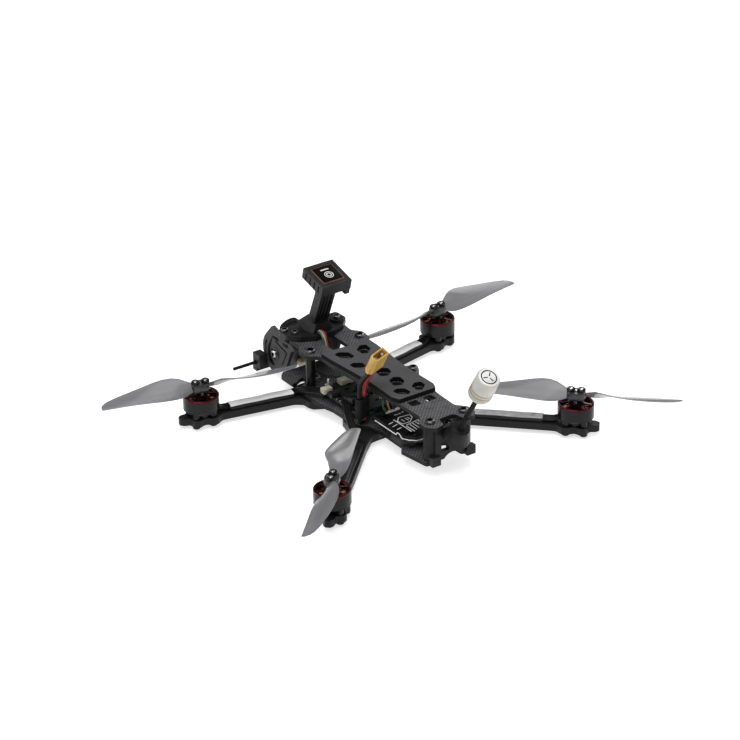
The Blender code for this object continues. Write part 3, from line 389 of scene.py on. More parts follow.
def build_looks():
    return {
        "carbon": carbon("carbon_plate", (0.012, 0.012, 0.013), (0.120, 0.120, 0.125), 0.42),
        "arm": carbon("carbon_arm", (0.005, 0.005, 0.006), (0.020, 0.020, 0.021), 0.34),
        "pad": foam("battery_pad_rubber"),
        "tpu": printed("printed_black", 0.005, (0.016, 0.016, 0.017), 0.40),
        "side_plate": plastic("side_plate_matt", (0.040, 0.040, 0.042), (0.058, 0.058, 0.060), 0.55,
                              1800, 0.02,
                              Specular_IOR_Level=0.12),
        "black_metal": metal("black_anodised", 0.004, (0.010, 0.010, 0.011), 0.16, metallic=0.0,
                             Specular_IOR_Level=0.2),
        "steel": metal("bright_steel", (0.34, 0.34, 0.35), (0.55, 0.55, 0.56), 0.22),
        "screw": metal("screw_steel", 0.07, 0.14, 0.26),
        # Painted shade: near black with almost no reflection, for screw sockets and the side
        # plates' grooves.
        "dark": plastic("painted_recess_shade", 0.001, 0.003, 0.6,
                        Specular_IOR_Level=0.05),
        "wine": metal("wine_anodised", (0.030, 0.002, 0.005), (0.075, 0.005, 0.011), 0.30,
                      metallic=0.8),
        "copper": windings("winding_wire"),
        "laminate": metal("stator_steel", 0.03, 0.06, 0.45, 5000, (0.1, 0.1, 3)),
        "magnet": metal("magnet_nickel", 0.08, (0.16, 0.16, 0.17), 0.3),
        "smoke": smoked("smoked_clear"),
        "hub": plastic("hub_smoke", (0.020, 0.020, 0.021), (0.040, 0.040, 0.042), 0.18,
                       Specular_IOR_Level=0.4),
        "board": circuit("board_green", (0.001, 0.004, 0.003), (0.003, 0.010, 0.007)),
        "black_board": circuit("board_black", 0.002, 0.006),
        "chip": plastic("chip_black", 0.004, 0.012, 0.4, Specular_IOR_Level=0.3),
        "cover": plastic("cover_black", 0.002, 0.005, 0.35,
                         Specular_IOR_Level=0.15),
        "cream": plastic("socket_cream", (0.34, 0.31, 0.24), (0.48, 0.45, 0.36), 0.45,
                         Subsurface_Weight=0.1),
        "print": plastic("print_white", 0.60, 0.80, 0.5),
        "rubber": plastic("rubber_black", 0.003, 0.007, 0.6, 900, 0.03,
                          Specular_IOR_Level=0.12),
        "lens": plastic("lens_glass", (0.004, 0.006, 0.010), (0.010, 0.016, 0.030), 0.06,
                        Coat_Weight=1.0,
                        Coat_Tint=(0.5, 0.75, 1.0, 1)),
        "xt30": plastic("connector_amber", (0.44, 0.26, 0.045), (0.60, 0.38, 0.085), 0.38, 900,
                        0.02,
                        Subsurface_Weight=0.1, Subsurface_Scale=0.002),
        "brass": metal("gold_plate", (0.52, 0.35, 0.13), (0.72, 0.53, 0.24), 0.22),
        "silver": metal("tin_plate", 0.45, 0.70, 0.25),
        "red_wire": plastic("silicone_red", (0.30, 0.020, 0.020), (0.44, 0.040, 0.036), 0.38, 1200,
                            0.015,
                            Specular_IOR_Level=0.4),
        "black_wire": plastic("silicone_black", 0.003, 0.007, 0.32, 1200, 0.015,
                              Specular_IOR_Level=0.16),
        "green_wire": plastic("wire_green", (0.004, 0.08, 0.018), (0.010, 0.15, 0.034), 0.35),
        "yellow_wire": plastic("wire_yellow", (0.38, 0.24, 0.03), (0.52, 0.36, 0.07), 0.35),
        "purple_wire": plastic("wire_purple", (0.04, 0.012, 0.07), (0.08, 0.025, 0.12), 0.35),
        "milky": cap_plastic("cap_milky"),
        "cap_top": plastic("cap_top_white", (0.62, 0.62, 0.60), (0.78, 0.78, 0.76), 0.4),
        # Painted reflection: the white and grey wraps are the dark film of wrap_dark with a light
        # top tone painted in for the reflection it shows.
        "wrap_painted_reflection_white": wrap_film("wrap_painted_reflection_white", 0.88, 0.95),
        "wrap_painted_reflection_grey": wrap_film("wrap_painted_reflection_grey", (0.28, 0.28, 0.29), (0.46, 0.46, 0.47)),
        "wrap_dark": wrap_film("wrap_dark", 0.004, 0.014),
        "ceramic": plastic("patch_black", 0.001, 0.003, 0.55,
                           Specular_IOR_Level=0.03),
        "bronze": plastic("patch_edge", (0.09, 0.036, 0.020), (0.19, 0.085, 0.050), 0.45,
                          Specular_IOR_Level=0.2),
    }


# ---------------------------------------------------------------- shapes, in millimetres

def lathe(bm, profile, sides=32, matrix=None, wobble=None):
    """Turns a profile of (radius, height) about Z; a radius of 0 closes on the axis."""
    loops = []
    for radius, height in profile:
        if radius == 0:
            loops.append([bm.verts.new((0, 0, height))])
            continue
        loop = []
        for i in range(sides):
            angle = TURN * i / sides
            r = radius * (wobble(angle, radius, height) if wobble else 1)
            loop.append(bm.verts.new((r * math.cos(angle), r * math.sin(angle), height)))
        loops.append(loop)
    for a, b in zip(loops, loops[1:]):
        for i in range(sides):
            j = (i + 1) % sides
            corners = [a[i % len(a)], a[j % len(a)], b[j % len(b)], b[i % len(b)]]
            corners = [v for k, v in enumerate(corners) if v not in corners[:k]]
            if len(corners) > 2:
                bm.faces.new(corners)
    made = [v for loop in loops for v in loop]
    if matrix:
        bmesh.ops.transform(bm, matrix=matrix, verts=made)
    return made


def ring(bm, profile, sides=32, matrix=None, wobble=None):
    """Turns a closed profile about Z."""
    return lathe(bm, list(profile) + [profile[0]], sides, matrix, wobble)


def block(bm, size, centre, matrix=None, bevel=0.0):
    made = bmesh.ops.create_cube(bm, size=1)["verts"]
    bmesh.ops.scale(bm, vec=size, verts=made)
    if bevel:
        edges = list({edge for vert in made for edge in vert.link_edges})
        result = bmesh.ops.bevel(bm, geom=edges, offset=bevel, segments=2, affect="EDGES",
                                 profile=0.5)
        made = list({vert for face in result["faces"] for vert in face.verts}
                    | {vert for vert in made if vert.is_valid})
        linked = set(made)
        stack = list(made)
        while stack:
            for edge in stack.pop().link_edges:
                for vert in edge.verts:
                    if vert not in linked:
                        linked.add(vert)
                        stack.append(vert)
        made = list(linked)
    bmesh.ops.transform(bm, matrix=(matrix or Matrix()) @ Matrix.Translation(centre), verts=made)
    return made


def join_loops(bm, loops):
    """Faces between each closed loop of vertices and the next."""
    for a, b in zip(loops, loops[1:]):
        for i in range(len(a)):
            j = (i + 1) % len(a)
            bm.faces.new((a[i], a[j], b[j], b[i]))


def prism(bm, outline, low, high, matrix=None):
    """An outline of (x, y) points, anticlockwise, pushed up from low to high."""
    bottom = [bm.verts.new((x, y, low)) for x, y in outline]
    top = [bm.verts.new((x, y, high)) for x, y in outline]
    bm.faces.new(list(reversed(bottom)))
    bm.faces.new(top)
    for i in range(len(outline)):
        j = (i + 1) % len(outline)
        bm.faces.new((bottom[i], bottom[j], top[j], top[i]))
    if matrix:
        bmesh.ops.transform(bm, matrix=matrix, verts=bottom + top)
    return bottom + top


def smooth_route(points, spacing):
    """Points every so often along a Catmull-Rom curve through the given ones."""
    points = [Vector(p) for p in points]
    before = [points[0] * 2 - points[1]] + points
    after = points + [points[-1] * 2 - points[-2]]
    route = []
    for i in range(len(points) - 1):
        p0, p1, p2, p3 = before[i], points[i], points[i + 1], after[i + 2]
        steps = max(1, round((p2 - p1).length / spacing))
        for k in range(steps):
            t = k / steps
            route.append(0.5 * (2 * p1 + (p2 - p0) * t + (2 * p0 - 5 * p1 + 4 * p2 - p3) * t * t
                                + (3 * p1 - p0 - 3 * p2 + p3) * t ** 3))
    return route + [points[-1]]


def tube(bm, route, radius, sides=10, flat=1.0):
    """A capped tube along a route; flat squeezes it across."""
    route = [Vector(p) for p in route]
    side = None
    loops = []
    for i, point in enumerate(route):
        ahead = (route[min(i + 1, len(route) - 1)] - route[max(i - 1, 0)]).normalized()
        if side is None:
            side = ahead.orthogonal().normalized()
        side = (side - ahead * side.dot(ahead)).normalized()
        across = ahead.cross(side)
        loops.append([bm.verts.new(point + radius * (math.cos(TURN * k / sides) * side
                                                     + flat * math.sin(TURN * k / sides) * across))
                      for k in range(sides)])
    join_loops(bm, loops)
    bm.faces.new(list(reversed(loops[0])))
    bm.faces.new(loops[-1])


def piece(name, bm, look, body, stands_for=(), at=None, heading=0.0, smooth=32, parts=()):
    """Makes the object, in metres, to ride on a body. parts lists more looks by face index."""
    bmesh.ops.recalc_face_normals(bm, faces=bm.faces)
    bmesh.ops.scale(bm, vec=(MM, MM, MM), verts=bm.verts)
    mesh = bpy.data.meshes.new(name)
    bm.to_mesh(mesh)
    bm.free()
    mesh.shade_smooth()
    mesh.set_sharp_from_angle(angle=math.radians(smooth))
    made = bpy.data.objects.new(name, mesh)
    bpy.context.scene.collection.objects.link(made)
    mesh.materials.append(LOOKS[look])
    for other in parts:
        mesh.materials.append(LOOKS[other])
    if at is not None:
        made.location = Vector(at) * MM
        made.rotation_euler = (0, 0, heading)
    bpy.context.view_layer.update()
    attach(made, body)
    if stands_for:
        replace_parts(made, *stands_for)
    return made


def dress(node, look, bevel=0.0, segments=2):
    """A CAD node that stays: a better material, and slightly rounded edges."""
    made = frame["nodes"][node]
    made.data.materials.clear()
    made.data.materials.append(LOOKS[look])
    if bevel:
        weld = made.modifiers.new("weld", "WELD")
        weld.merge_threshold = 0.00001
        edges = made.modifiers.new("edges", "BEVEL")
        edges.width = bevel * MM
        edges.segments = segments
        edges.limit_method = "ANGLE"
        edges.angle_limit = math.radians(40)
        edges.harden_normals = True
    return made


def paint_faces(bm, verts, index):
    """Gives the faces among these vertices another of the piece's looks."""
    chosen = set(verts)
    for face in bm.faces:
        if all(vert in chosen for vert in face.verts):
            face.material_index = index


# ---------------------------------------------------------------- screws

def socket_screw(bm, radius, height, matrix, under=0.0, socket=0.5):
    """A rounded head with a hexagon socket; the socket's faces take the second look, a near-black
    painted shade.
    """
    def hexagonal(angle, r, h):
        if r > radius * (socket + 0.02):
            return 1.0
        return math.cos(math.radians(30)) / math.cos((angle + TURN) % (TURN / 6) - TURN / 12)

    inner = radius * socket
    profile = [(0, -under), (radius * 0.55, -under), (radius * 0.55, 0), (radius, 0),
               (radius, height * 0.5),
               (radius * 0.93, height * 0.78), (radius * 0.76, height * 0.95),
               (radius * 0.66, height),
               (inner * 1.12, height)]
    lathe(bm, profile, 24, matrix)
    deep = lathe(bm, [(inner * 1.12, height), (inner, height * 0.96), (inner, height * 0.35),
                      (0, height * 0.3)],
                 24, matrix, hexagonal)
    # Painted shade: the socket's faces take the near-black second look.
    paint_faces(bm, deep, 1)


def upright(x, y, z):
    return Matrix.Translation((x, y, z))


NUTTED_BOLTS = [(9.0, -36.5), (8.5, -49.0), (7.0, -5.5), (8.5, 4.5)]
ARM_BOLTS = [(14.4, -44.0), *NUTTED_BOLTS[:2], (15.3, -0.5), *NUTTED_BOLTS[2:]]


def build_screws():
    """Heads on the top plate and the mast's base, arm bolts underneath, and their nuts."""
    bm = bmesh.new()
    for place in POSTS.values():
        socket_screw(bm, 2.45, 1.5, upright(place.x, place.y, TOP_TOP + 0.05), under=2.6)
    piece("top_screws", bm, "screw", FRAME, parts=["dark"])
    bm = bmesh.new()
    base_top = TOP_TOP + GAP + 2.6
    for x, y, z in ((12.2, -60.4, base_top), (14.9, -65.4, base_top), (-12.2, -60.4, 30.7)):
        socket_screw(bm, 1.75, 1.3, upright(x, y, z + 0.05), under=2.0)
    piece("mast_screws", bm, "screw", FRAME, parts=["dark"])
    bm = bmesh.new()
    nuts = bmesh.new()
    for side in (-1, 1):
        for x, y in ARM_BOLTS:
            lathe(bm, [(0, 0.2), (1.5, 0.2), (1.5, MAIN_TOP + 0.6), (0, MAIN_TOP + 0.6)], 16,
                  upright(side * x, y, 0))
            if (x, y) in NUTTED_BOLTS:
                ring(nuts, [(1.55, 0), (2.75, 0), (3.0, 0.25), (3.0, 1.7), (2.75, 1.95),
                            (1.55, 1.95)], 6,
                     upright(side * x, y, MAIN_TOP + 0.05))
    piece("arm_bolts", bm, "black_metal", FRAME)
    piece("arm_nuts", nuts, "steel", FRAME, smooth=20)


# ---------------------------------------------------------------- plates, posts and pad

def build_airframe():
    for node, look, bevel in (("bottom_clamp_plate", "carbon", 0.18),
                              ("main_plate", "carbon", 0.22),
                              ("top_plate", "carbon", 0.22), ("battery_pad", "pad", 0.35)):
        dress(node, look, bevel)
    for name in CORNERS:
        dress("arm_" + name, "arm", 0.5, 3)
    for name, place in POSTS.items():
        build_post(name, place)


def build_post(name, place):
    """A black aluminium post, knurled between its plain ends and bored for its screws."""
    low, high = node_box("standoff_" + name)
    height = high.z - low.z
    rows = 66

    def knurl(angle, radius, z):
        if radius < 2.2 or z < 1.1 or z > height - 1.1:
            return 1.0
        lean = math.pi * z / 1.25
        groove = min(abs(math.sin(8 * angle + lean)), abs(math.sin(8 * angle - lean)))
        return 0.955 + 0.05 * min(1.0, groove * 2.2)

    bm = bmesh.new()
    profile = [(1.45, 0.0), (2.15, 0.0), (2.32, 0.2)]
    profile += [(2.37, height * k / rows) for k in range(2, rows - 1)]
    profile += [(2.32, height - 0.2), (2.15, height), (1.45, height)]
    ring(bm, profile, 64, None, knurl)
    piece("knurled_post_" + name, bm, "black_metal", FRAME, ["standoff_" + name],
          at=(place.x, place.y, low.z), smooth=60)


# ---------------------------------------------------------------- nose

def camera_space():
    """Camera space, as in the frame: +Z looks out of the lens and +Y is the camera's top."""
    look = Vector((0, -math.cos(CAMERA_REST), math.sin(CAMERA_REST)))
    up = Vector((0, math.sin(CAMERA_REST), math.cos(CAMERA_REST)))
    return Matrix.Translation(PIVOT) @ Matrix((up.cross(look), up, look)).transposed().to_4x4()


SIDE_FACE = {"port": Matrix(((0, 0, 1, 0), (1, 0, 0, 0), (0, 1, 0, 0), (0, 0, 0, 1))),
             "starboard": Matrix(((0, 0, -1, 0), (1, 0, 0, 0), (0, 1, 0, 0), (0, 0, 0, 1)))}
SIDE_SWEEP = [(-76.8, 20.8), (-75.8, 21.0), (-78.3, 15.0), (-77.7, 10.8), (-75.3, 8.0),
              (-74.4, 7.1),
              (-76.0, 6.3), (-79.0, 7.9), (-80.3, 11.3), (-79.8, 16.1)]
SIDE_LEAF = [(-74.8, 22.7), (-71.6, 23.4), (-69.6, 22.1), (-71.9, 21.3)]
SIDE_DIAMOND = [(-64.6, 22.4), (-62.4, 22.9), (-61.4, 21.7), (-63.4, 21.2)]


def build_nose():
    for side in ("port", "starboard"):
        dress("camera_side_plate_" + side, "side_plate", 0.25)
        dress("receiver_antenna_" + side, "rubber", 0.1)
    dress("receiver_antenna_holder", "tpu", 0.4)
    dress("camera_body", "chip")
    dress("lens_barrel", "rubber", 0.2)
    dress("lens_glass", "lens")
    place = camera_space()
    bm = bmesh.new()
    for low, high in ((5.8, 7.4), (10.6, 12.2)):
        ring(bm, [(5.33, low), (5.62, low + 0.15), (5.62, high - 0.15), (5.33, high)], 96, place,
             lambda angle, r, z: 1.0 if r < 5.4 else 1.0 + 0.014 * math.cos(28 * angle))
    ring(bm, [(3.45, 12.35), (4.15, 13.45), (4.95, 13.45), (4.95, 13.62), (4.1, 13.62),
              (3.4, 12.6)], 64, place)
    piece("lens_rings", bm, "rubber", "camera")
    bm = bmesh.new()
    for x in (-7.4, 7.4):
        for y in (-7.4, 7.4):
            socket_screw(bm, 1.0, 0.6, place @ upright(x, y, 5.05))
    piece("camera_face_screws", bm, "steel", "camera", parts=["dark"])
    bm = bmesh.new()
    block(bm, (9.0, 3.4, 3.0), (0, -4.2, -6.55), place, 0.2)
    piece("camera_socket", bm, "cream", "camera")
    for name, side in (("port", 1), ("starboard", -1)):
        head = node_box("camera_side_plate_" + name)[1 if side > 0 else 0].x
        turn = Matrix.Translation((head + side * GAP, PIVOT.y,
                                   PIVOT.z)) @ Matrix.Rotation(side * math.pi / 2, 4, "Y")
        bm = bmesh.new()
        socket_screw(bm, 1.9, 1.3, turn, under=6.2)
        piece("pivot_screw_" + name, bm, "steel", "camera", ["camera_pivot_screw_" + name],
              parts=["dark"])
        bm = bmesh.new()
        ring(bm, [(2.0, -0.12), (3.3, -0.12), (3.45, 0.0), (3.4, 0.12), (2.0, 0.12)], 40, turn)
        piece("pivot_washer_" + name, bm, "black_metal", "camera")
        bm = bmesh.new()
        # Painted shade: near-black lines and shapes on each side plate's face stand in for the
        # shade inside its grooves.
        line = [(-73.3, 20.6), (-63.4, 18.0), (-67.5, 10.4)]
        for a, b in zip(line, line[1:]):
            tube(bm, [(head + side * 0.03, *a), (head + side * 0.03, *b)], 0.42, 8, 0.5)
        for shape in (SIDE_SWEEP, SIDE_LEAF, SIDE_DIAMOND):
            prism(bm, shape, -0.1, 0.06, SIDE_FACE[name] @ Matrix.Translation((0, 0, head * side)))
        piece("side_plate_groove_shade_" + name, bm, "dark", FRAME)


# ---------------------------------------------------------------- mast with its positioning module

def build_mast():
    dress("gps_mount", "tpu", 0.35)
    dress("gps_module", "chip")
    tray = Matrix.Translation((0, -49.15, 61.95)) @ Matrix.Rotation(MAST_TILT, 4, "X")
    bm = bmesh.new()
    block(bm, (12.3, 12.3, 1.5), (0, 0, -0.55), tray, 0.25)
    piece("patch_antenna_edge", bm, "bronze", FRAME)
    bm = bmesh.new()
    block(bm, (11.1, 11.1, 0.6), (0, 0, 0.16), tray, 0.15)
    piece("patch_antenna_face", bm, "ceramic", FRAME)
    bm = bmesh.new()
    block(bm, (4.6, 0.75, 0.08), (0, -2.9, 0.48), tray)
    ring(bm, [(0.95, 0.44), (1.35, 0.44), (1.35, 0.52), (0.95, 0.52)], 32,
         tray @ upright(0, 1.2, 0))
    ring(bm, [(1.95, 0.44), (2.3, 0.44), (2.3, 0.52), (1.95, 0.52)], 40, tray @ upright(0, 1.2, 0))
    piece("patch_antenna_print", bm, "print", FRAME)


# ---------------------------------------------------------------- stern: video antenna

def antenna_space():
    return Matrix.Translation((0, 58.7, 25.4)) @ Matrix.Rotation(ANTENNA_LEAN, 4, "X")


def build_stern():
    dress("rear_antenna_mount", "tpu", 0.4)
    dress("video_antenna_stem", "rubber")
    place = antenna_space()
    bm = bmesh.new()
    ring(bm, [(1.23, 0.1), (1.9, 0.1), (1.9, 1.2), (1.55, 2.2), (1.55, 9.0), (1.23, 9.2)], 28,
         place)
    piece("antenna_stem_sleeve", bm, "rubber", FRAME)
    bm = bmesh.new()
    turns = [(3.3 * math.cos(TURN * k / 18), 3.3 * math.sin(TURN * k / 18),
              29.2 + 0.075 * k) for k in range(84)]
    tube(bm, [place @ Vector(p) for p in turns], 0.42, 8)
    ring(bm, [(1.3, 28.6), (2.1, 28.6), (2.1, 36.2), (1.3, 36.2)], 28, place)
    piece("antenna_coil", bm, "brass", FRAME, ["video_antenna_element"])
    bm = bmesh.new()
    outside = [(1.6, 26.6), (4.7, 26.6), (5.3, 26.9), (5.65, 27.8), (5.7, 29.2), (5.7, 29.6),
               (5.6, 29.8),
               (5.6, 30.2), (5.68, 30.4), (5.5, 40.0), (5.35, 40.5), (4.9, 40.8), (0, 40.8)]
    inside = [(0, 38.9), (4.2, 38.6), (4.5, 38.0), (4.7, 29.0), (4.4, 28.0), (1.6, 27.7)]
    lathe(bm, outside, 56, place)
    lathe(bm, inside + [(1.6, 26.6)], 56, place)
    bmesh.ops.remove_doubles(bm, verts=bm.verts, dist=0.0005)
    piece("antenna_cap_shell", bm, "milky", FRAME, ["video_antenna_cap"])
    bm = bmesh.new()
    lathe(bm, [(0, 40.78), (4.75, 40.78), (4.9, 40.84), (4.9, 40.9), (4.75, 40.96), (0, 40.96)], 48,
          place)
    piece("antenna_cap_disc", bm, "cap_top", FRAME)
    bm = bmesh.new()
    ring(bm, [(3.3, 40.96), (3.85, 40.96), (3.85, 41.02), (3.3, 41.02)], 48, place)
    for k in range(3):
        spin = place @ Matrix.Rotation(TURN * k / 3 + 0.3, 4, "Z")
        block(bm, (0.55, 2.1, 0.06), (0, 1.7, 40.99), spin)
    piece("antenna_cap_print", bm, "chip", FRAME)


# ---------------------------------------------------------------- electronics

def build_boards():
    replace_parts(build_board_base(), "flight_controller_board")
    dress("video_transmitter_board", "black_board")
    dress("video_transmitter_cover", "cover", 0.15)
    build_video_print()


def board_outline():
    low, high = node_box("flight_controller_board")
    left, right, front, back, cut = low.x, 16.2, low.y, high.y, 3.6
    return [(left + cut, front), (right - cut, front), (right, front + cut), (right, back - cut),
            (right - cut, back), (left + cut, back), (left, back - cut), (left, front + cut)]


def build_board_base():
    """A board standing for the stack of two, the lower one with the speed controllers, and
    everything that sits on it.
    """
    outline = board_outline()
    low = BOARD_TOP - BOARD_THICK
    bm = bmesh.new()
    prism(bm, outline, low + 0.05, BOARD_TOP - 0.02)
    base = piece("flight_controller", bm, "board", FRAME)
    rng = random.Random(7)
    chips, cans, pads, creams = bmesh.new(), bmesh.new(), bmesh.new(), bmesh.new()
    centre_y = (outline[0][1] + outline[4][1]) / 2
    block(chips, (9, 9, 1.1), (-2, centre_y - 1, BOARD_TOP + 0.55), None, 0.15)
    block(chips, (5, 5, 1.0), (7, centre_y + 7, BOARD_TOP + 0.5), None, 0.15)
    for row in range(4):
        for column in (-1, 1):
            block(chips, (3.3, 3.3, 0.9), (column * 11.2, centre_y - 7.2 + 4.2 * row,
                                           BOARD_TOP + 0.45), None, 0.12)
            block(pads, (3.7, 0.7, 0.5), (column * 11.2, centre_y - 5.1 + 4.2 * row,
                                          BOARD_TOP + 0.25))
    for k in range(LOOSE_PARTS):
        x, y = rng.uniform(-13, 13), rng.uniform(-13.5, 13.5) + centre_y
        long = rng.choice((0.8, 1.0, 1.6))
        size = (long, 0.6, 0.5) if rng.random() < 0.5 else (0.6, long, 0.5)
        block(rng.choice((cans, cans, chips, pads)), size, (x, y, BOARD_TOP + 0.25))
    for k in range(8):
        for x in (15.1, -15.1):
            block(pads, (1.9, 1.1, 0.35), (x, centre_y - 9.5 + 2.7 * k, BOARD_TOP + 0.17), None,
                  0.05)
    for x, y, width, depth, kind in ((16.0, -28.0, 5.0, 3.4, creams),
                                     (15.4, -22.4, 5.0, 3.4, chips),
                                     (3, -31.2, 7.2, 4.0, creams), (11.5, -14.0, 5.6, 4.4, chips)):
        block(kind, (width, depth, 2.7), (x, y, BOARD_TOP + 1.4), None, 0.18)
        for k in range(4):
            block(pads, (0.35, 0.5, 1.2), (x + 1.2 * (k - 1.5), y - depth / 2 - 0.1,
                                           BOARD_TOP + 1.3))
    lathe(cans, [(0, 0), (2.35, 0), (2.35, 0.5), (2.15, 0.8), (2.35, 1.1), (2.35, 6.2), (2.2, 6.5),
                 (0, 6.5)], 28,
          Matrix.Translation((8.6, -9.5, BOARD_TOP + 2.5)) @ Matrix.Rotation(math.radians(90), 4,
                                                                             "Y"))
    piece("controller_chips", chips, "chip", FRAME)
    piece("controller_small_parts", cans, "cover", FRAME)
    piece("controller_pads", pads, "silver", FRAME)
    piece("controller_sockets", creams, "cream", FRAME)
    grommets, studs = bmesh.new(), bmesh.new()
    for x in (-12.75, 12.75):
        for y in (-30.75, -5.25):
            lathe(studs, [(0, MAIN_TOP + 0.3), (0.95, MAIN_TOP + 0.3), (0.95, 17.2), (0.8, 17.4),
                          (0, 17.4)], 14,
                  upright(x, y, 0))
            ring(grommets, [(1.05, low - 2.3), (2.7, low - 2.3), (2.9, low - 1.2),
                            (2.7, low - 0.05),
                            (1.7, low), (1.7, BOARD_TOP), (2.7, BOARD_TOP + 0.1),
                            (2.8, BOARD_TOP + 1.0),
                            (2.5, BOARD_TOP + 1.4), (1.05, BOARD_TOP + 1.4)], 24, upright(x, y, 0))
            ring(studs, [(1.0, BOARD_TOP + 1.5), (2.2, BOARD_TOP + 1.5), (2.2, BOARD_TOP + 3.2),
                         (1.0, BOARD_TOP + 3.2)], 6, upright(x, y, 0))
    piece("stack_grommets", grommets, "rubber", FRAME)
    piece("stack_studs", studs, "steel", FRAME)
    return base


def build_video_print():
    """Plain strokes and a frame on the transmitter's cover, its screws and its antenna socket."""
    top = node_box("video_transmitter_cover")[1].z
    bm = bmesh.new()
    frame_line = [(5.7, 17.1), (-0.1, 17.8), (0.3, 20.5), (3.7, 23.6), (7.8, 23.5), (8.3, 19.9),
                  (5.7, 17.1)]
    lines = [((8.9, 17.7), (8.7, 31.7)), ((7.0, 25.4), (-0.5, 24.2)), ((7.6, 26.2), (7.3, 32.4)),
             ((5.4, 25.9), (5.4, 31.5)), ((3.7, 25.5), (3.6, 30.8)), ((1.8, 25.3), (1.7, 29.4)),
             ((0.1, 24.9), (0.0, 27.6)), ((13.2, 19.9), (10.4, 19.3)), ((13.2, 23.0), (10.2, 22.3)),
             ((13.0, 26.4), (10.4, 26.0)), ((6.0, 14.1), (4.4, 14.3)), ((3.6, 14.2), (2.4, 14.1)),
             ((1.6, 13.9), (0.6, 13.7)), ((5.8, 19.6), (5.6, 21.8)), ((3.6, 19.4), (3.5, 21.9)),
             ((2.2, 19.4), (2.2, 21.2))]
    lines += list(zip(frame_line, frame_line[1:]))
    for (x0, y0), (x1, y1) in lines:
        long = math.hypot(x1 - x0, y1 - y0)
        turn = upright((x0 + x1) / 2, (y0 + y1) / 2,
                       top + 0.04) @ Matrix.Rotation(math.atan2(y1 - y0, x1 - x0), 4, "Z")
        block(bm, (long + 0.2, 0.5, 0.06), (0, 0, 0), turn)
    low = top - 1.6
    edge = [(14.55, 10.5, low), (14.55, 27.6, low), (14.5, 28.6, low + 1.4),
            (14.5, 30.2, low + 1.4),
            (14.55, 32.4, low), (13.0, 35.2, low), (10.3, 38.1, low), (2.0, 38.4, low)]
    for a, b in zip(edge, edge[1:]):
        tube(bm, [a, b], 0.30, 8, 0.8)
    block(bm, (7.6, 1.1, 1.0), (4.4, 10.4, top + 0.4), None, 0.15)
    piece("transmitter_print", bm, "print", FRAME)
    bm = bmesh.new()
    prism(bm, [(8.0, 22.0), (13.6, 22.0), (13.6, 30.0), (10.0, 34.0), (8.0, 34.0)], MAIN_TOP + 0.7,
          top - 3.1)
    piece("transmitter_heat_block", bm, "side_plate", FRAME)
    bm = bmesh.new()
    for x in (-10, 10):
        for y in (13.5, 33.5):
            socket_screw(bm, 1.9, 1.1, upright(x, y, top - 1.4), under=0.2)
    piece("transmitter_screws", bm, "black_metal", FRAME, parts=["dark"])
    bm = bmesh.new()
    ring(bm, [(0.6, 0), (1.9, 0), (1.9, 1.2), (1.5, 1.4), (1.5, 3.0), (0.6, 3.0)], 24,
         upright(-3, 35.2, top))
    piece("transmitter_socket", bm, "brass", FRAME)
    bm = bmesh.new()
    route = [(-3, 35.2, top + 2.6), (-3, 36.0, top + 5.0), (-2.2, 40.0, top + 6.6),
             (-0.6, 45.4, 20.6), (0, 49.3, 20.5)]
    tube(bm, smooth_route(route, 1.0), 0.75, 10)
    piece("antenna_coax", bm, "black_wire", FRAME)


def build_signal_wires():
    """Thin coloured wires: up to the mast, into the nose, and to the video transmitter."""
    mast = [(0, -53.2, 30.6), (0, -51.0, 30.4), (0, -48.9, 28.6), (0, -47.6, 25.6),
            (0, -46.4, 21.5), (0, -42, 17.5),
            (0, -34, 14.6)]
    bundles = {
        "green_wire": [[(x + 3.6, y, z) for x, y, z in mast],
                       [(8.0, 7.0, 22.8), (9.0, 8.6, 21.6), (9.1, 9.5, 17.8), (8.4, 10.4, 15.6),
                        (7.4, 10.5, 15.3)]],
        "cream": [[(x + 2.9, y, z + 0.2) for x, y, z in mast]],
        "yellow_wire": [[(6.0, 8.0, 22.8), (6.8, 9.6, 20.0), (6.6, 10.4, 17.4), (5.8, 10.4, 15.8),
                         (5.2, 10.4, 15.2)]],
        "red_wire": [[(x + 2.1, y, z + 0.3) for x, y, z in mast]],
        "wine": [[(14.0, -17.5, 12.0), (14.4, -14.0, 12.2), (14.8, -9.0, 12.2), (15.0, -6.0, 11.8),
                  (15.0, -3.2, 11.4)]],
        "purple_wire": [[(4.4, 8.0, 22.8), (5.0, 9.4, 20.4), (4.6, 10.3, 17.4), (3.8, 10.4, 15.8),
                         (3.2, 10.4, 15.2)]],
        "silver": [[(14.9, -22.8, 10.9), (15.9, -13.0, 10.9), (16.0, -4.4, 10.9),
                    (14.2, -5.2, 10.9)]],
        "black_wire": [[(x + 1.3, y, z) for x, y, z in mast],
                       [(4.4, -61.0, 9.8), (5.0, -56.0, 9.2), (4.8, -48.0, 9.4), (3.8, -40.0, 11.4),
                        (3.0, -34, 13.4)]],
    }
    for look, routes in bundles.items():
        bm = bmesh.new()
        for route in routes:
            tube(bm, smooth_route(route, 0.8), 0.28 if look == "silver" else 0.45, 8)
        piece("signal_" + look, bm, look, FRAME)


# ---------------------------------------------------------------- battery lead

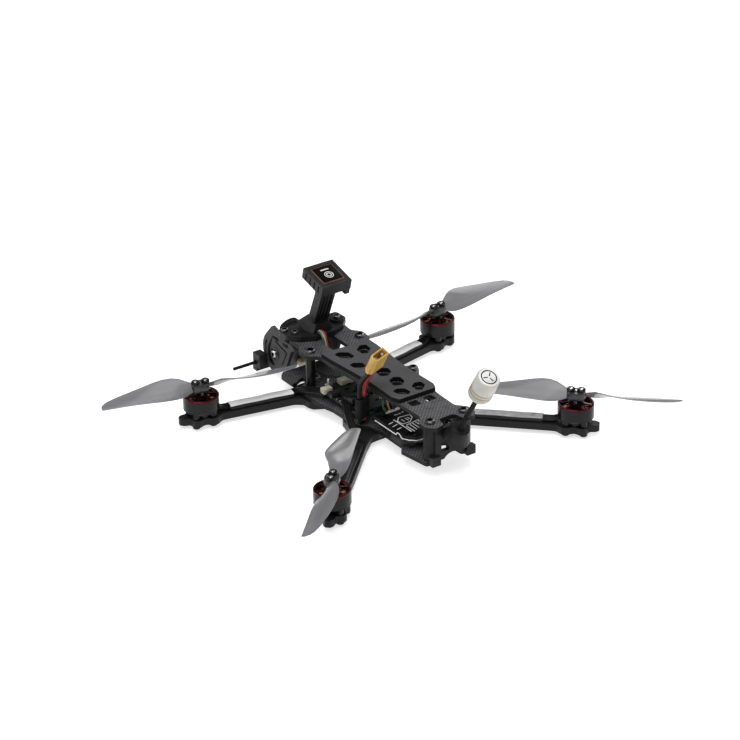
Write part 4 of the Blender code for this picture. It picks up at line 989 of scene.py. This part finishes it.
RED_ROUTE = [(14.5, 1.4, 9.6), (14.5, 1.4, 15.0), (14.5, 1.4, 22.4), (14.2, 1.2, 25.0),
             (13.6, 1.5, 28.0),
             (13.1, 2.6, 31.0), (12.6, 4.6, 34.3), (11.9, 7.1, 37.75), (11.9, 8.33, 39.88),
             (11.9, 10.03, 42.83)]
BLACK_ROUTE = [(17.5, 2.3, 9.6), (17.5, 2.3, 15.0), (17.5, 2.3, 22.4), (17.35, 2.0, 25.0),
               (17.1, 2.2, 28.0),
               (16.9, 3.3, 31.0), (16.7, 5.6, 34.2), (16.5, 8.24, 37.1), (16.5, 9.47, 39.22),
               (16.5, 11.17, 42.17)]
CONNECTOR_FOOT = Vector((14.2, 8.9, 39.55))
CONNECTOR_LENGTH = 11.0
CONTACT_X = 2.4


def build_connector():
    """The amber two-pole plug: chamfered on one side, hollow, with ribs and two contacts."""
    place = (Matrix.Translation(CONNECTOR_FOOT) @ Matrix.Rotation(PLUG_LEAN, 4, "X")
             @ Matrix.Rotation(PLUG_TWIST, 4, "Z"))

    def outline(half_x, half_y, cut):
        return [(-half_x + 0.3, -half_y), (half_x - cut, -half_y), (half_x, -half_y + cut),
                (half_x, half_y - cut),
                (half_x - cut, half_y), (-half_x + 0.3, half_y), (-half_x, half_y - 0.3),
                (-half_x, -half_y + 0.3)]

    bm = bmesh.new()
    levels = [(4.7, 2.1, 1.5, 0), (4.8, 2.2, 1.6, 0.2), (4.8, 2.2, 1.6, CONNECTOR_LENGTH - 0.2),
              (4.65, 2.05, 1.5, CONNECTOR_LENGTH), (3.95, 1.55, 1.1, CONNECTOR_LENGTH),
              (3.9, 1.5, 1.1, CONNECTOR_LENGTH - 0.3), (3.9, 1.5, 1.1, 6.2)]
    loops = [[bm.verts.new((x, y, z)) for x, y in outline(hx, hy, cut)] for hx, hy, cut,
             z in levels]
    join_loops(bm, loops)
    bm.faces.new(list(reversed(loops[0])))
    bm.faces.new(loops[-1])
    for side in (-1, 1):
        for k in range(4):
            block(bm, (0.3, 1.8, 0.5), (side * 4.82, 0, 1.6 + 1.2 * k), None, 0.1)
    bmesh.ops.transform(bm, matrix=place, verts=bm.verts)
    shell = piece("plug_shell", bm, "xt30", FRAME, ["battery_connector"], smooth=25)
    bm = bmesh.new()
    for side in (-1, 1):
        pin = [(0, 4.2), (0.95, 4.2), (0.95, 9.2), (0.7, 9.6), (0, 9.6)]
        lathe(bm, pin, 20, place @ upright(side * CONTACT_X, 0, 0))
    contacts = piece("plug_contacts", bm, "silver", FRAME)
    return shell, contacts


def build_lead():
    """Two silicone wires from the sleeve on the stack up to the plug."""
    dress("lead_sleeve", "rubber", 0.3)
    shell, contacts = build_connector()
    for name, route, look in (("red", RED_ROUTE, "red_wire"), ("black", BLACK_ROUTE, "black_wire")):
        path = smooth_route(route, 0.6)
        curve = bpy.data.curves.new("lead_" + name, "CURVE")
        curve.dimensions = "3D"
        curve.bevel_depth = 1.2 * MM
        curve.bevel_resolution = 5
        curve.use_fill_caps = True
        spline = curve.splines.new("POLY")
        spline.points.add(len(path) - 1)
        for point, where in zip(spline.points, path):
            point.co = (*(where * MM), 1)
        lead = bpy.data.objects.new("lead_" + name, curve)
        bpy.context.scene.collection.objects.link(lead)
        curve.materials.append(LOOKS[look])
        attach(lead, FRAME)
        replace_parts(lead, "battery_lead_" + name)


# ---------------------------------------------------------------- motors and propellers

def build_motor(name):
    side_x, side_y = CORNERS[name]
    hub = HUBS[name]
    at = (hub.x, hub.y, 0)
    spin = math.radians(BLADE_ANGLES[name])
    arm_turn = ARM_HEADING[side_y] if side_x > 0 else math.pi - ARM_HEADING[side_y]
    rotor = "rotor_" + name
    foot = ARM_TOP + GAP
    dress("motor_base_" + name, "black_metal", 0.12)
    screws = bmesh.new()
    bearings = bmesh.new()
    for k in range(4):
        angle = TURN * (k + 0.5) / 4
        x, y = MOTOR_SCREW_REACH * math.cos(angle), MOTOR_SCREW_REACH * math.sin(angle)
        lathe(screws, [(0, foot + 2.62), (0.8, foot + 2.62), (0.95, foot + 2.3),
                       (0.95, ARM_TOP - 3.2),
                       (1.9, ARM_TOP - 3.6), (1.9, ARM_TOP - 4.6), (1.6, ARM_TOP - 4.9),
                       (0, ARM_TOP - 4.9)],
              20, upright(x, y, 0))
    piece("motor_screws_" + name, screws, "black_metal", FRAME, at=at, heading=arm_turn)
    ring(bearings, [(0.95, 13.0), (1.7, 13.0), (1.7, 13.5), (0.95, 13.5)], 28)
    ring(bearings, [(0.95, 5.6), (1.7, 5.6), (1.7, 6.1), (0.95, 6.1)], 28)
    piece("motor_bearings_" + name, bearings, "steel", FRAME, at=at)
    build_stator(name, at)
    build_bell(name, at, spin, rotor)
    build_propeller(name, at, spin, rotor)


def build_stator(name, at):
    """Nine laminated poles with wire wound round each, and round-cornered shoes."""
    steel, wire = bmesh.new(), bmesh.new()
    ring(steel, [(2.75, 9.3), (3.9, 9.3), (3.9, 13.3), (2.75, 13.3)], 36)
    for k in range(9):
        turn = Matrix.Rotation(TURN * k / 9, 4, "Z")
        block(steel, (3.6, 1.0, 3.9), (5.3, 0, 11.3), turn)
        shoe = [(6.55, -1.9), (7.05, -1.95), (7.2, 0), (7.05, 1.95), (6.55, 1.9)]
        prism(steel, shoe, 9.3, 13.3, turn)
        for width, reach in ((2.3, 0.0), (1.7, 0.45)):
            block(wire, (2.2 - reach, width, 4.6 + reach), (5.3 - reach * 0.6, 0, 11.3), turn, 0.45)
    piece("motor_laminations_" + name, steel, "laminate", FRAME, at=at)
    piece("motor_windings_" + name, wire, "copper", FRAME, ["motor_stator_" + name],
          at=at)


def build_bell(name, at, spin, rotor):
    """The black flux ring, twelve magnets inside, and a wine crown with spokes round the shaft."""
    r, low, rim = BELL_RADIUS, BELL_LOW, RIM_Z
    bm = bmesh.new()
    ring(bm, [(r - 0.9, rim - 1.1), (r - 0.02, rim - 1.1), (r, rim - 1.2), (r, low + 0.9),
              (r - 0.12, low + 0.8),
              (r - 0.12, low + 0.6), (r, low + 0.5), (r - 0.05, low + 0.15), (r - 0.25, low),
              (r - 0.9, low)], 96)
    piece("bell_ring_" + name, bm, "black_metal", rotor, ["motor_bell_" + name],
          at=at, heading=spin)
    bm = bmesh.new()
    for k in range(12):
        turn = Matrix.Rotation(TURN * (k + 0.5) / 12, 4, "Z")
        block(bm, (0.55, 3.3, 4.6), (r - 1.12, 0, (low + rim) / 2 - 0.9), turn, 0.12)
    piece("bell_magnets_" + name, bm, "magnet", rotor, at=at, heading=spin)
    bm = bmesh.new()
    ring(bm, [(r - 1.3, rim - 1.05), (r - 0.02, rim - 1.05), (r, rim - 0.9), (r, rim - 0.35),
              (r - 0.25, rim - 0.02),
              (r - 0.75, rim), (r - 1.0, rim - 0.25), (r - 1.45, rim - 0.8)], 96)
    for k in range(6):
        turn = Matrix.Rotation(TURN * k / 6, 4, "Z")
        spoke = [(r - 1.15, 0.75, rim - 0.95), (5.2, 0.5, rim - 0.75), (3.6, 0.62, rim - 0.35),
                 (2.8, 0.9, rim + 0.1)]
        top = [[bm.verts.new(turn @ Vector((x, s * w, z + 0.45))) for s in (-1, 1)] for x, w,
               z in spoke]
        bottom = [[bm.verts.new(turn @ Vector((x, s * w * 0.8, z - 0.35))) for s in (-1, 1)] for x,
                  w, z in spoke]
        for i in range(3):
            bm.faces.new((top[i][0], top[i][1], top[i + 1][1], top[i + 1][0]))
            bm.faces.new((bottom[i][1], bottom[i][0], bottom[i + 1][0], bottom[i + 1][1]))
            for s in (0, 1):
                bm.faces.new((top[i][s], top[i + 1][s], bottom[i + 1][s], bottom[i][s]))
        bm.faces.new((top[0][0], bottom[0][0], bottom[0][1], top[0][1]))
        bm.faces.new((top[3][0], bottom[3][0], bottom[3][1], top[3][1]))
    ring(bm, [(1.0, rim - 1.2), (3.0, rim - 1.2), (3.25, rim - 0.6), (3.2, rim + 0.35),
              (1.0, rim + 0.35)], 48)
    piece("crown_" + name, bm, "wine", rotor, ["motor_crown_" + name], at=at, heading=spin)
    bm = bmesh.new()
    ring(bm, [(0.85, rim + 0.3), (2.0, rim + 0.3), (2.0, HUB_Z - 0.25), (1.8, HUB_Z - 0.08),
              (0.85, HUB_Z - 0.08)], 32)
    ring(bm, [(0.85, rim + 0.3), (3.7, rim + 0.3), (3.7, rim + 0.62), (0.85, rim + 0.62)], 40)
    piece("crown_seat_" + name, bm, "black_metal", rotor, at=at, heading=spin)
    bm = bmesh.new()
    for k in range(4):
        x, y = PROP_SCREW_REACH * math.cos(TURN * k / 4), PROP_SCREW_REACH * math.sin(TURN * k / 4)
        lathe(bm, [(0, rim + 0.5), (0.85, rim + 0.5), (0.85, HUB_Z - 0.1), (0, HUB_Z - 0.1)], 16,
              upright(x, y, 0))
    piece("crown_posts_" + name, bm, "silver", rotor, at=at, heading=spin)
    bm = bmesh.new()
    lathe(bm, [(0, 6.1), (0.6, 6.1), (0.75, 6.3), (0.75, HUB_TOP + 0.2), (0.6, HUB_TOP + 0.45),
               (0, HUB_TOP + 0.45)], 20)
    piece("shaft_" + name, bm, "steel", rotor, at=at, heading=spin)


def blade_section(radius, chord, side, lead):
    """An aerofoil across the blade at one radius, twisted by the propeller's pitch."""
    twist = math.atan2(PROP_PITCH, TURN * max(radius, 9.0))
    thickness = 0.20 * chord if radius < 6 else max(0.55, 0.085 * chord)
    points = []
    for i in range(BLADE_POINTS):
        angle = TURN * i / BLADE_POINTS
        along = -0.5 * math.cos(angle)
        camber = 0.28 * (0.25 - along * along)
        across = 0.5 * math.sin(angle) * (1.0 - 0.55 * (along + 0.5)) + camber * 2
        y = along * chord + lead
        z = across * thickness
        points.append((radius, side * (y * math.cos(twist) + z * math.sin(twist)),
                       -y * math.sin(twist) + z * math.cos(twist)))
    return points


def build_propeller(name, at, spin, rotor):
    side_x, side_y = CORNERS[name]
    side = 1 if side_x * side_y < 0 else -1
    stations = [(2.4, 3.8, 0.0), (4.2, 5.0, -0.1), (6.5, 7.2, -0.3), (9.5, 9.9, -0.7),
                (13.0, 11.8, -1.1),
                (17.0, 12.6, -1.3), (21.5, 12.4, -1.2), (26.5, 11.4, -0.9), (32.0, 10.0, -0.5),
                (37.5, 8.6, 0.0),
                (42.5, 7.2, 0.6), (46.5, 5.7, 1.3), (48.8, 4.1, 2.1), (49.9, 2.2, 3.0)]
    middle = HUB_Z + 2.1                    # the height of the blades' own axis
    bm = bmesh.new()
    for end in (1, -1):
        rings = []
        for radius, chord, lead in stations:
            section = blade_section(radius, chord, side, lead)
            rings.append([bm.verts.new((end * x, end * y, z + middle)) for x, y, z in section])
        join_loops(bm, rings)
        bm.faces.new(rings[0])
        bm.faces.new(list(reversed(rings[-1])))
    piece("blades_" + name, bm, "smoke", rotor, ["propeller_" + name], at=at, heading=spin,
          smooth=55)
    bm = bmesh.new()

    def waist(angle, radius, z):
        return 1.0 if radius < 2 else 0.78 + 0.22 * abs(math.cos(angle)) ** 1.5

    ring(bm, [(0.95, HUB_Z), (4.3, HUB_Z), (4.55, HUB_Z + 0.3), (4.6, HUB_Z + 1.2),
              (4.45, HUB_TOP - 0.5),
              (4.2, HUB_TOP - 0.1), (0.95, HUB_TOP - 0.1)], 64, None, waist)
    piece("propeller_hub_" + name, bm, "hub", rotor, at=at, heading=spin)
    bm = bmesh.new()
    centres = bmesh.new()
    for x in (-PROP_SCREW_REACH, PROP_SCREW_REACH):
        ring(bm, [(1.05, 0), (1.95, 0), (2.05, 0.3), (2.0, 1.1), (1.6, 1.45), (1.05, 1.3)], 28,
             upright(x, 0, HUB_TOP))
        lathe(centres, [(0, -3.9), (1.0, -3.9), (1.0, 1.2), (0.8, 1.4), (0.3, 1.45), (0.3, 1.1),
                        (0, 1.1)], 20,
              upright(x, 0, HUB_TOP))
    piece("propeller_screws_" + name, bm, "black_metal", rotor, at=at, heading=spin)
    piece("propeller_screw_centres_" + name, centres, "silver", rotor, at=at, heading=spin)


# ---------------------------------------------------------------- wires along the arms

# Each arm's wrap: the white and grey ones carry a painted reflection, the dark one shows the film's
# own colour.
WRAPS = {"front_port": "wrap_painted_reflection_white", "front_starboard": "wrap_painted_reflection_white", "rear_port": "wrap_dark",
         "rear_starboard": "wrap_painted_reflection_grey"}


def build_arm_wires(name):
    side_x, side_y = CORNERS[name]
    hub = HUBS[name]
    turn = ARM_HEADING[side_y] if side_x > 0 else math.pi - ARM_HEADING[side_y]
    start, finish = (14.0, 46.5) if side_y < 0 else (15.5, 58.0)
    low = ARM_TOP + GAP
    bm = bmesh.new()
    rows = []
    for i in range(WRAP_STEPS + 1):
        t = i / WRAP_STEPS
        x = -(start + (finish - start) * t)
        half = 2.95 + 0.06 * math.sin(9 * t + side_x)
        high = low + 2.05 + 0.07 * math.sin(13 * t + side_y)
        section = [(-half, low), (-half - 0.05, low + 0.9), (-half + 0.35, high - 0.32),
                   (-half + 1.0, high),
                   (0, high + 0.08), (half - 1.0, high), (half - 0.35, high - 0.32),
                   (half + 0.05, low + 0.9),
                   (half, low)]
        rows.append([bm.verts.new((x, y, z)) for y, z in section])
    join_loops(bm, rows)
    bm.faces.new(list(reversed(rows[0])))
    bm.faces.new(rows[-1])
    at = (hub.x, hub.y, 0)
    piece("arm_wrap_" + name, bm, WRAPS[name], FRAME, ["motor_wires_" + name], at=at,
          heading=turn,
          smooth=50)
    bm = bmesh.new()
    for k in (-1, 0, 1):
        motor_end = [(-6.6, 1.3 * k, 8.3), (-8.6, 1.6 * k, 7.2), (-11.0, 1.75 * k, low + 0.9),
                     (-start - 1.5, 1.8 * k, low + 0.9)]
        tube(bm, smooth_route(motor_end, 0.7), 0.82, 10)
    piece("motor_wires_" + name, bm, "black_wire", FRAME, at=at, heading=turn)
    bm = bmesh.new()
    inward = Matrix.Translation(at) @ Matrix.Rotation(turn, 4, "Z")
    for k in (-1, 0, 1):
        wrapped = inward @ Vector((-finish + 1.0, 1.8 * k, low + 0.95))
        leaving = inward @ Vector((-finish - 2.5, 1.9 * k, low + 1.3))
        if side_y < 0:
            goal = Vector((side_x * 15.2, -27.5 + 2.7 * k, BOARD_TOP + 0.7))
            lift = Vector((side_x * 20.6, -37.5 + 2.4 * k, 10.6))
        else:
            goal = Vector((side_x * 15.2, -12.5 + 2.7 * k, BOARD_TOP + 0.7))
            lift = Vector((side_x * 20.8, -1.5 + 2.4 * k, 10.2))
        tube(bm, smooth_route([wrapped, leaving, lift, goal], 0.8), 0.82, 10)
    piece("controller_wires_" + name, bm, "black_wire", FRAME)


# ---------------------------------------------------------------- stage

def build_stage():
    bm = bmesh.new()
    bmesh.ops.create_grid(bm, x_segments=1, y_segments=1, size=FLOOR_SIZE)
    mesh = bpy.data.meshes.new("floor")
    bm.to_mesh(mesh)
    bm.free()
    floor = bpy.data.objects.new("floor", mesh)
    floor.location = (0, 0, -0.0005)
    paint = Paint("floor_white", 0.93, 0.9)
    paint.colour(paint.mix(paint.noise(6, 2), 0.60, 0.62))
    paint.shader.inputs["Emission Color"].default_value = (1, 1, 1, 1)
    paint.shader.inputs["Emission Strength"].default_value = 0.65
    mesh.materials.append(paint.material)
    bpy.context.scene.collection.objects.link(floor)
    world = bpy.data.worlds.new("studio")
    world.use_nodes = True
    world.node_tree.nodes["Background"].inputs["Color"].default_value = (1, 1, 1, 1)
    world.node_tree.nodes["Background"].inputs["Strength"].default_value = 0.20
    bpy.context.scene.world = world
    for name, place, size, power in (("key", (0.5, 0.3, 0.9), 0.8, 6.0),
                                     ("rim", (-0.8, -0.5, 0.6), 0.5, 3.0),
                                     ("top", (0.0, 0.0, 1.2), 0.9, 7.5),
                                     ("left", (0.9, -0.75, 0.35), 0.35, 2.5),
                                     ("right", (-0.75, 0.9, 0.35), 0.35, 2.5)):
        light = bpy.data.lights.new(name, "AREA")
        light.size = size
        light.energy = power
        lamp = bpy.data.objects.new(name, light)
        lamp.location = place
        lamp.rotation_euler = (-Vector(place)).to_track_quat("-Z", "Y").to_euler()
        bpy.context.scene.collection.objects.link(lamp)
    bpy.context.scene.view_settings.view_transform = "Standard"


LOOKS = build_looks()
build_camera()
build_lead()
build_airframe()
build_screws()
build_nose()
build_mast()
build_stern()
build_boards()
build_signal_wires()
for corner in CORNERS:
    build_motor(corner)
    build_arm_wires(corner)
build_stage()
